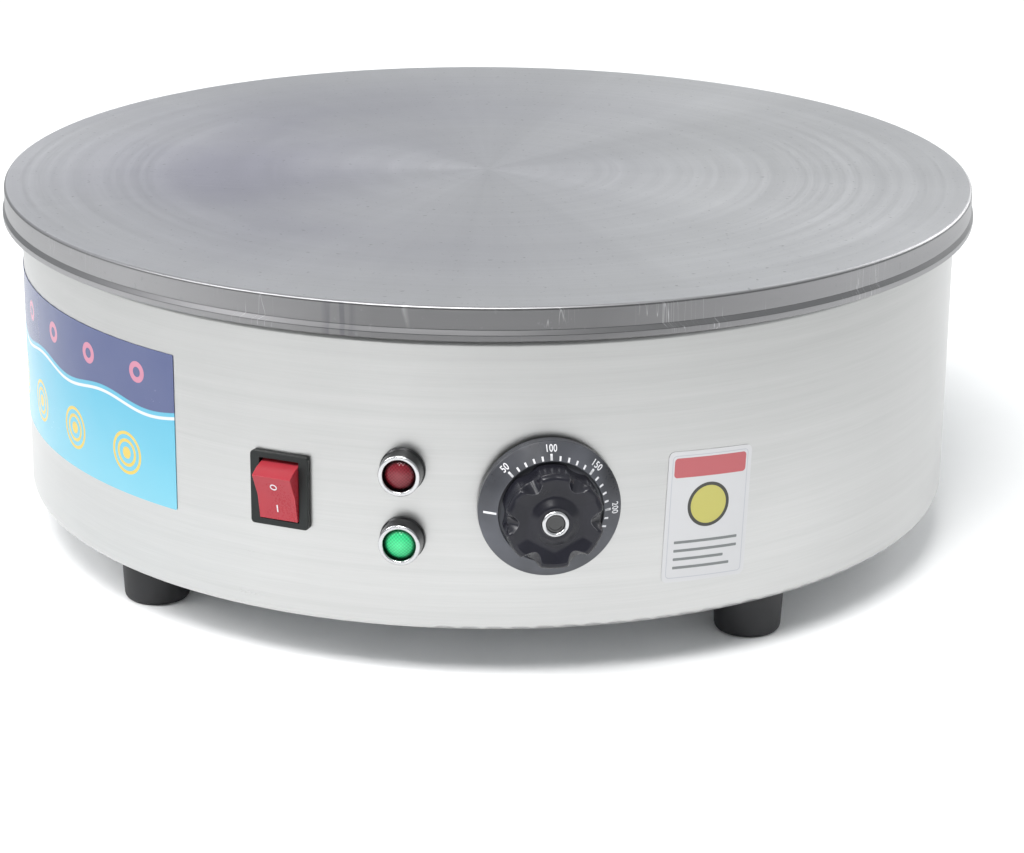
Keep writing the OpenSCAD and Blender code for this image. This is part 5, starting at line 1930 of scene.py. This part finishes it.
@dataclass
class Foil:
    """A printed foil on the drum's wall, with round corners and its print on its own UV map."""

    name: str
    node: str
    drum_r: float
    middle: float
    turn: float
    wide: float
    high: float
    lean: float
    corner: float
    steps: int = 96
    rows: int = 40
    bend_steps: int = 8
    lift: float = 0.05
    thick: float = 0.2

    def half_high(self, along: float) -> float:
        """Gives half the foil's height, which is less near its round corners.

        Args:
            along: The distance from its middle.

        Returns:
            Half the height.
        """
        past = max(0.0, abs(along) - (self.wide / 2 - self.corner))
        drop = self.corner - math.sqrt(max(self.corner ** 2 - past ** 2, 0.0))
        return self.high / 2 - drop

    def columns(self) -> list[float]:
        """Spaces the mesh's columns, close together in the round corners.

        Returns:
            Their distances from the middle.
        """
        inner = self.wide / 2 - self.corner
        bend = [inner + self.corner * math.sin(math.pi / 2 * k / self.bend_steps)
                for k in range(1, self.bend_steps + 1)]
        flat = [-inner + 2 * inner * k / self.steps for k in range(self.steps + 1)]
        return [-along for along in reversed(bend)] + flat + bend

    def on_drum(self, along: float, up: float, radius: float) -> Triple:
        """Lays a place of the flat foil on a cylinder round the drum.

        Args:
            along: The distance from the foil's middle, to the right.
            up: The distance from its middle, upwards.
            radius: The cylinder's radius.

        Returns:
            The place.
        """
        lean = math.radians(self.lean)
        across = along * math.cos(lean) - up * math.sin(lean)
        high = along * math.sin(lean) + up * math.cos(lean)
        angle = math.radians(self.turn) + across / self.drum_r
        return radius * math.sin(angle), -radius * math.cos(angle), self.middle + high

    def build(self) -> None:
        """Makes the foil with its print's UV map."""
        shape = bmesh.new()
        uv = shape.loops.layers.uv.new("foil")
        grid = [[(along, self.half_high(along) * (2 * row / self.rows - 1)) for row in range(self.rows + 1)]
                for along in self.columns()]
        prints = [metres(along + self.wide / 2, up + self.high / 2)
                  for column in grid for along, up in column]
        rims = []
        for radius in (self.drum_r + self.lift, self.drum_r + self.lift + self.thick):
            sheet = [ring(shape, (self.on_drum(*spot, radius) for spot in column)) for column in grid]
            for first, second in zip(sheet, sheet[1:]):
                for row in range(self.rows):
                    shape.faces.new((first[row], second[row], second[row + 1], first[row + 1]))
            rims.append([*(column[0] for column in sheet), *sheet[-1][1:],
                         *(column[-1] for column in reversed(sheet[:-1])), *reversed(sheet[0][1:-1])])
        wrap(shape, rims)
        shape.verts.index_update()
        for face in shape.faces:
            for loop in face.loops:
                loop[uv].uv = prints[loop.vert.index % len(prints)]
        settled(shaped(shape), self.name, SLOTS[self.node], stands_for=(self.node,))


@dataclass
class Inside:
    """What is shut inside the drum: the heating rings with their clamp, and the mains wiring."""

    heating: tuple[str, ...] = (
        "outer_element", "middle_element", "inner_element", "element_beads", "element_links", "element_clamp",
        "insulation_pad", "heat_shield", "clamp_studs", "clamp_nuts", "clamp_washers")
    wiring: tuple[str, ...] = (
        "terminal_block", "terminal_screws", "earth_stud", "earth_nuts", "live_leads", "neutral_leads",
        "earth_lead", "lamp_leads")

    def build(self) -> None:
        """Dresses the CAD solids inside the drum."""
        dressed(*self.heating, *self.wiring)


@dataclass(frozen=True)
class SoftLight:
    """A rectangular soft light: its place and size in metres, and its power in watts."""

    name: str
    place: Triple
    size: Flat
    power: float

    def build(self, aim: Triple) -> None:
        """Places the light.

        Args:
            aim: The point that it faces.
        """
        lamp = bpy.data.lights.new(self.name, "AREA")
        lamp.shape, lamp.size, lamp.size_y, lamp.energy = "RECTANGLE", *self.size, self.power
        thing = added(lamp)
        thing.location = self.place
        thing.rotation_euler = (Vector(aim) - thing.location).to_track_quat("-Z", "Y").to_euler()


@dataclass
class Studio:
    """A pale floor, soft lights all round and a camera at the photograph's angle, in metres."""

    lights: tuple[SoftLight, ...] = (
        SoftLight("front", (-0.2, -1.5, 1.9), (1.0, 0.7), 53.0),
        SoftLight("left", (-1.6, -1.0, 1.45), (0.8, 0.8), 24.0),
        SoftLight("back", (1.35, 1.45, 0.9), (1.0, 1.0), 15.0))
    aim: Triple = (0.0, 0.0, 0.08)
    floor_half: float = 8.0
    floor_rise: float = 6.0
    floor_bend: float = 2.0
    camera_place: Triple = (0.1523, -1.2132, 0.4585)
    azimuth: float = 6.66
    down: float = 19.03
    roll: float = 0.51
    lens: float = 106.3
    sensor: float = 36.0
    sky: float = 0.7
    room_share: float = 0.45
    sky_tint: Colour = (0.95, 0.985, 1.0)

    def floor(self) -> None:
        """Makes the floor of pale matt paper, which curves up far behind the object."""
        shape = bmesh.new()
        half, bend = self.floor_half, self.floor_bend
        line = [(-half, 0.0), (half - bend, 0.0)]
        line += [(half - bend + bend * math.sin(turn), bend - bend * math.cos(turn))
                 for turn in (math.radians(6.0 * k) for k in range(1, 16))]
        line.append((half, self.floor_rise))
        wrap(shape, [[shape.verts.new((x, y, z)) for x in (-half, half)] for y, z in line], closed=False)
        floor = shaped(shape)
        floor.name = "floor"
        for face in floor.data.polygons:
            face.use_smooth = True
        paper = Finish("floor_paper", (0.92, 0.92, 0.92), 0.85, size=1.5, depth=0.02, shade=0.01, wear=0.0,
                       dust=0.0)
        floor.data.materials.append(paper.material())

    def room(self) -> None:
        """Sets up the room's even light, which is dimmer low down behind the camera."""
        world = bpy.data.worlds.new("studio")
        world.use_nodes = True
        net = Net(world.node_tree)
        away = net.split(net.get("ShaderNodeTexCoord", output="Generated"))[1]
        strength = away.span(-0.95, -0.45, self.sky * self.room_share, self.sky)
        light = net.get("ShaderNodeBackground", {"Color": (*self.sky_tint, 1.0), "Strength": strength})
        net.put("ShaderNodeOutputWorld", {"Surface": light})
        bpy.context.scene.world = world

    def camera(self) -> None:
        """Places the camera."""
        lens = bpy.data.cameras.new("camera")
        lens.lens, lens.sensor_width, lens.clip_start = self.lens, self.sensor, 0.05
        camera = added(lens)
        camera.matrix_world = (
            Matrix.Translation(self.camera_place) @ turned(self.azimuth, "Z") @ turned(90.0 - self.down, "X")
            @ turned(self.roll, "Z"))
        bpy.context.scene.camera = camera

    def build(self) -> None:
        """Sets up the floor, the room's light, the lights and the camera."""
        bpy.context.scene.view_settings.view_transform = "Standard"
        self.floor()
        self.room()
        for light in self.lights:
            light.build(self.aim)
        self.camera()


def main() -> None:
    """Builds the sub-assemblies in order."""
    logging.basicConfig(level=logging.INFO, format="%(name)s: %(message)s")
    places = Places.from_frame()
    Plate().build()
    Drum(Screws("cover_screws", "base_screws", "bright_fastener", 3.6, 1.2, 1.9, 6.8, 8, 183.25, 22.5),
         Screws("foot_fixings", "foot_screws", "zinc_fastener", 4.6, 3.2, 2.5, 20.2, 4, 166.1, 45.0),
         Screws("block_fixings", "block_screws", "bright_fastener", 3.6, 2.2, 1.9, 6.8, 2, 16.5, 90.0,
                middle_y=121.0)).build()
    Switch(places).build()
    Lamps(places).build()
    Knob(places, Dial()).build()
    Foil("side_foil", "side_sticker", places.drum_r, 86.0, -54.85, 165.6, 61.4, 0.0, 0.8).build()
    Foil("white_label", "front_label", places.drum_r, 63.0, 32.3, 35.0, 51.2, -2.5, 2.5, steps=24).build()
    Gland().build()
    Inside().build()
    Studio().build()


if __name__ == "__main__":
    main()
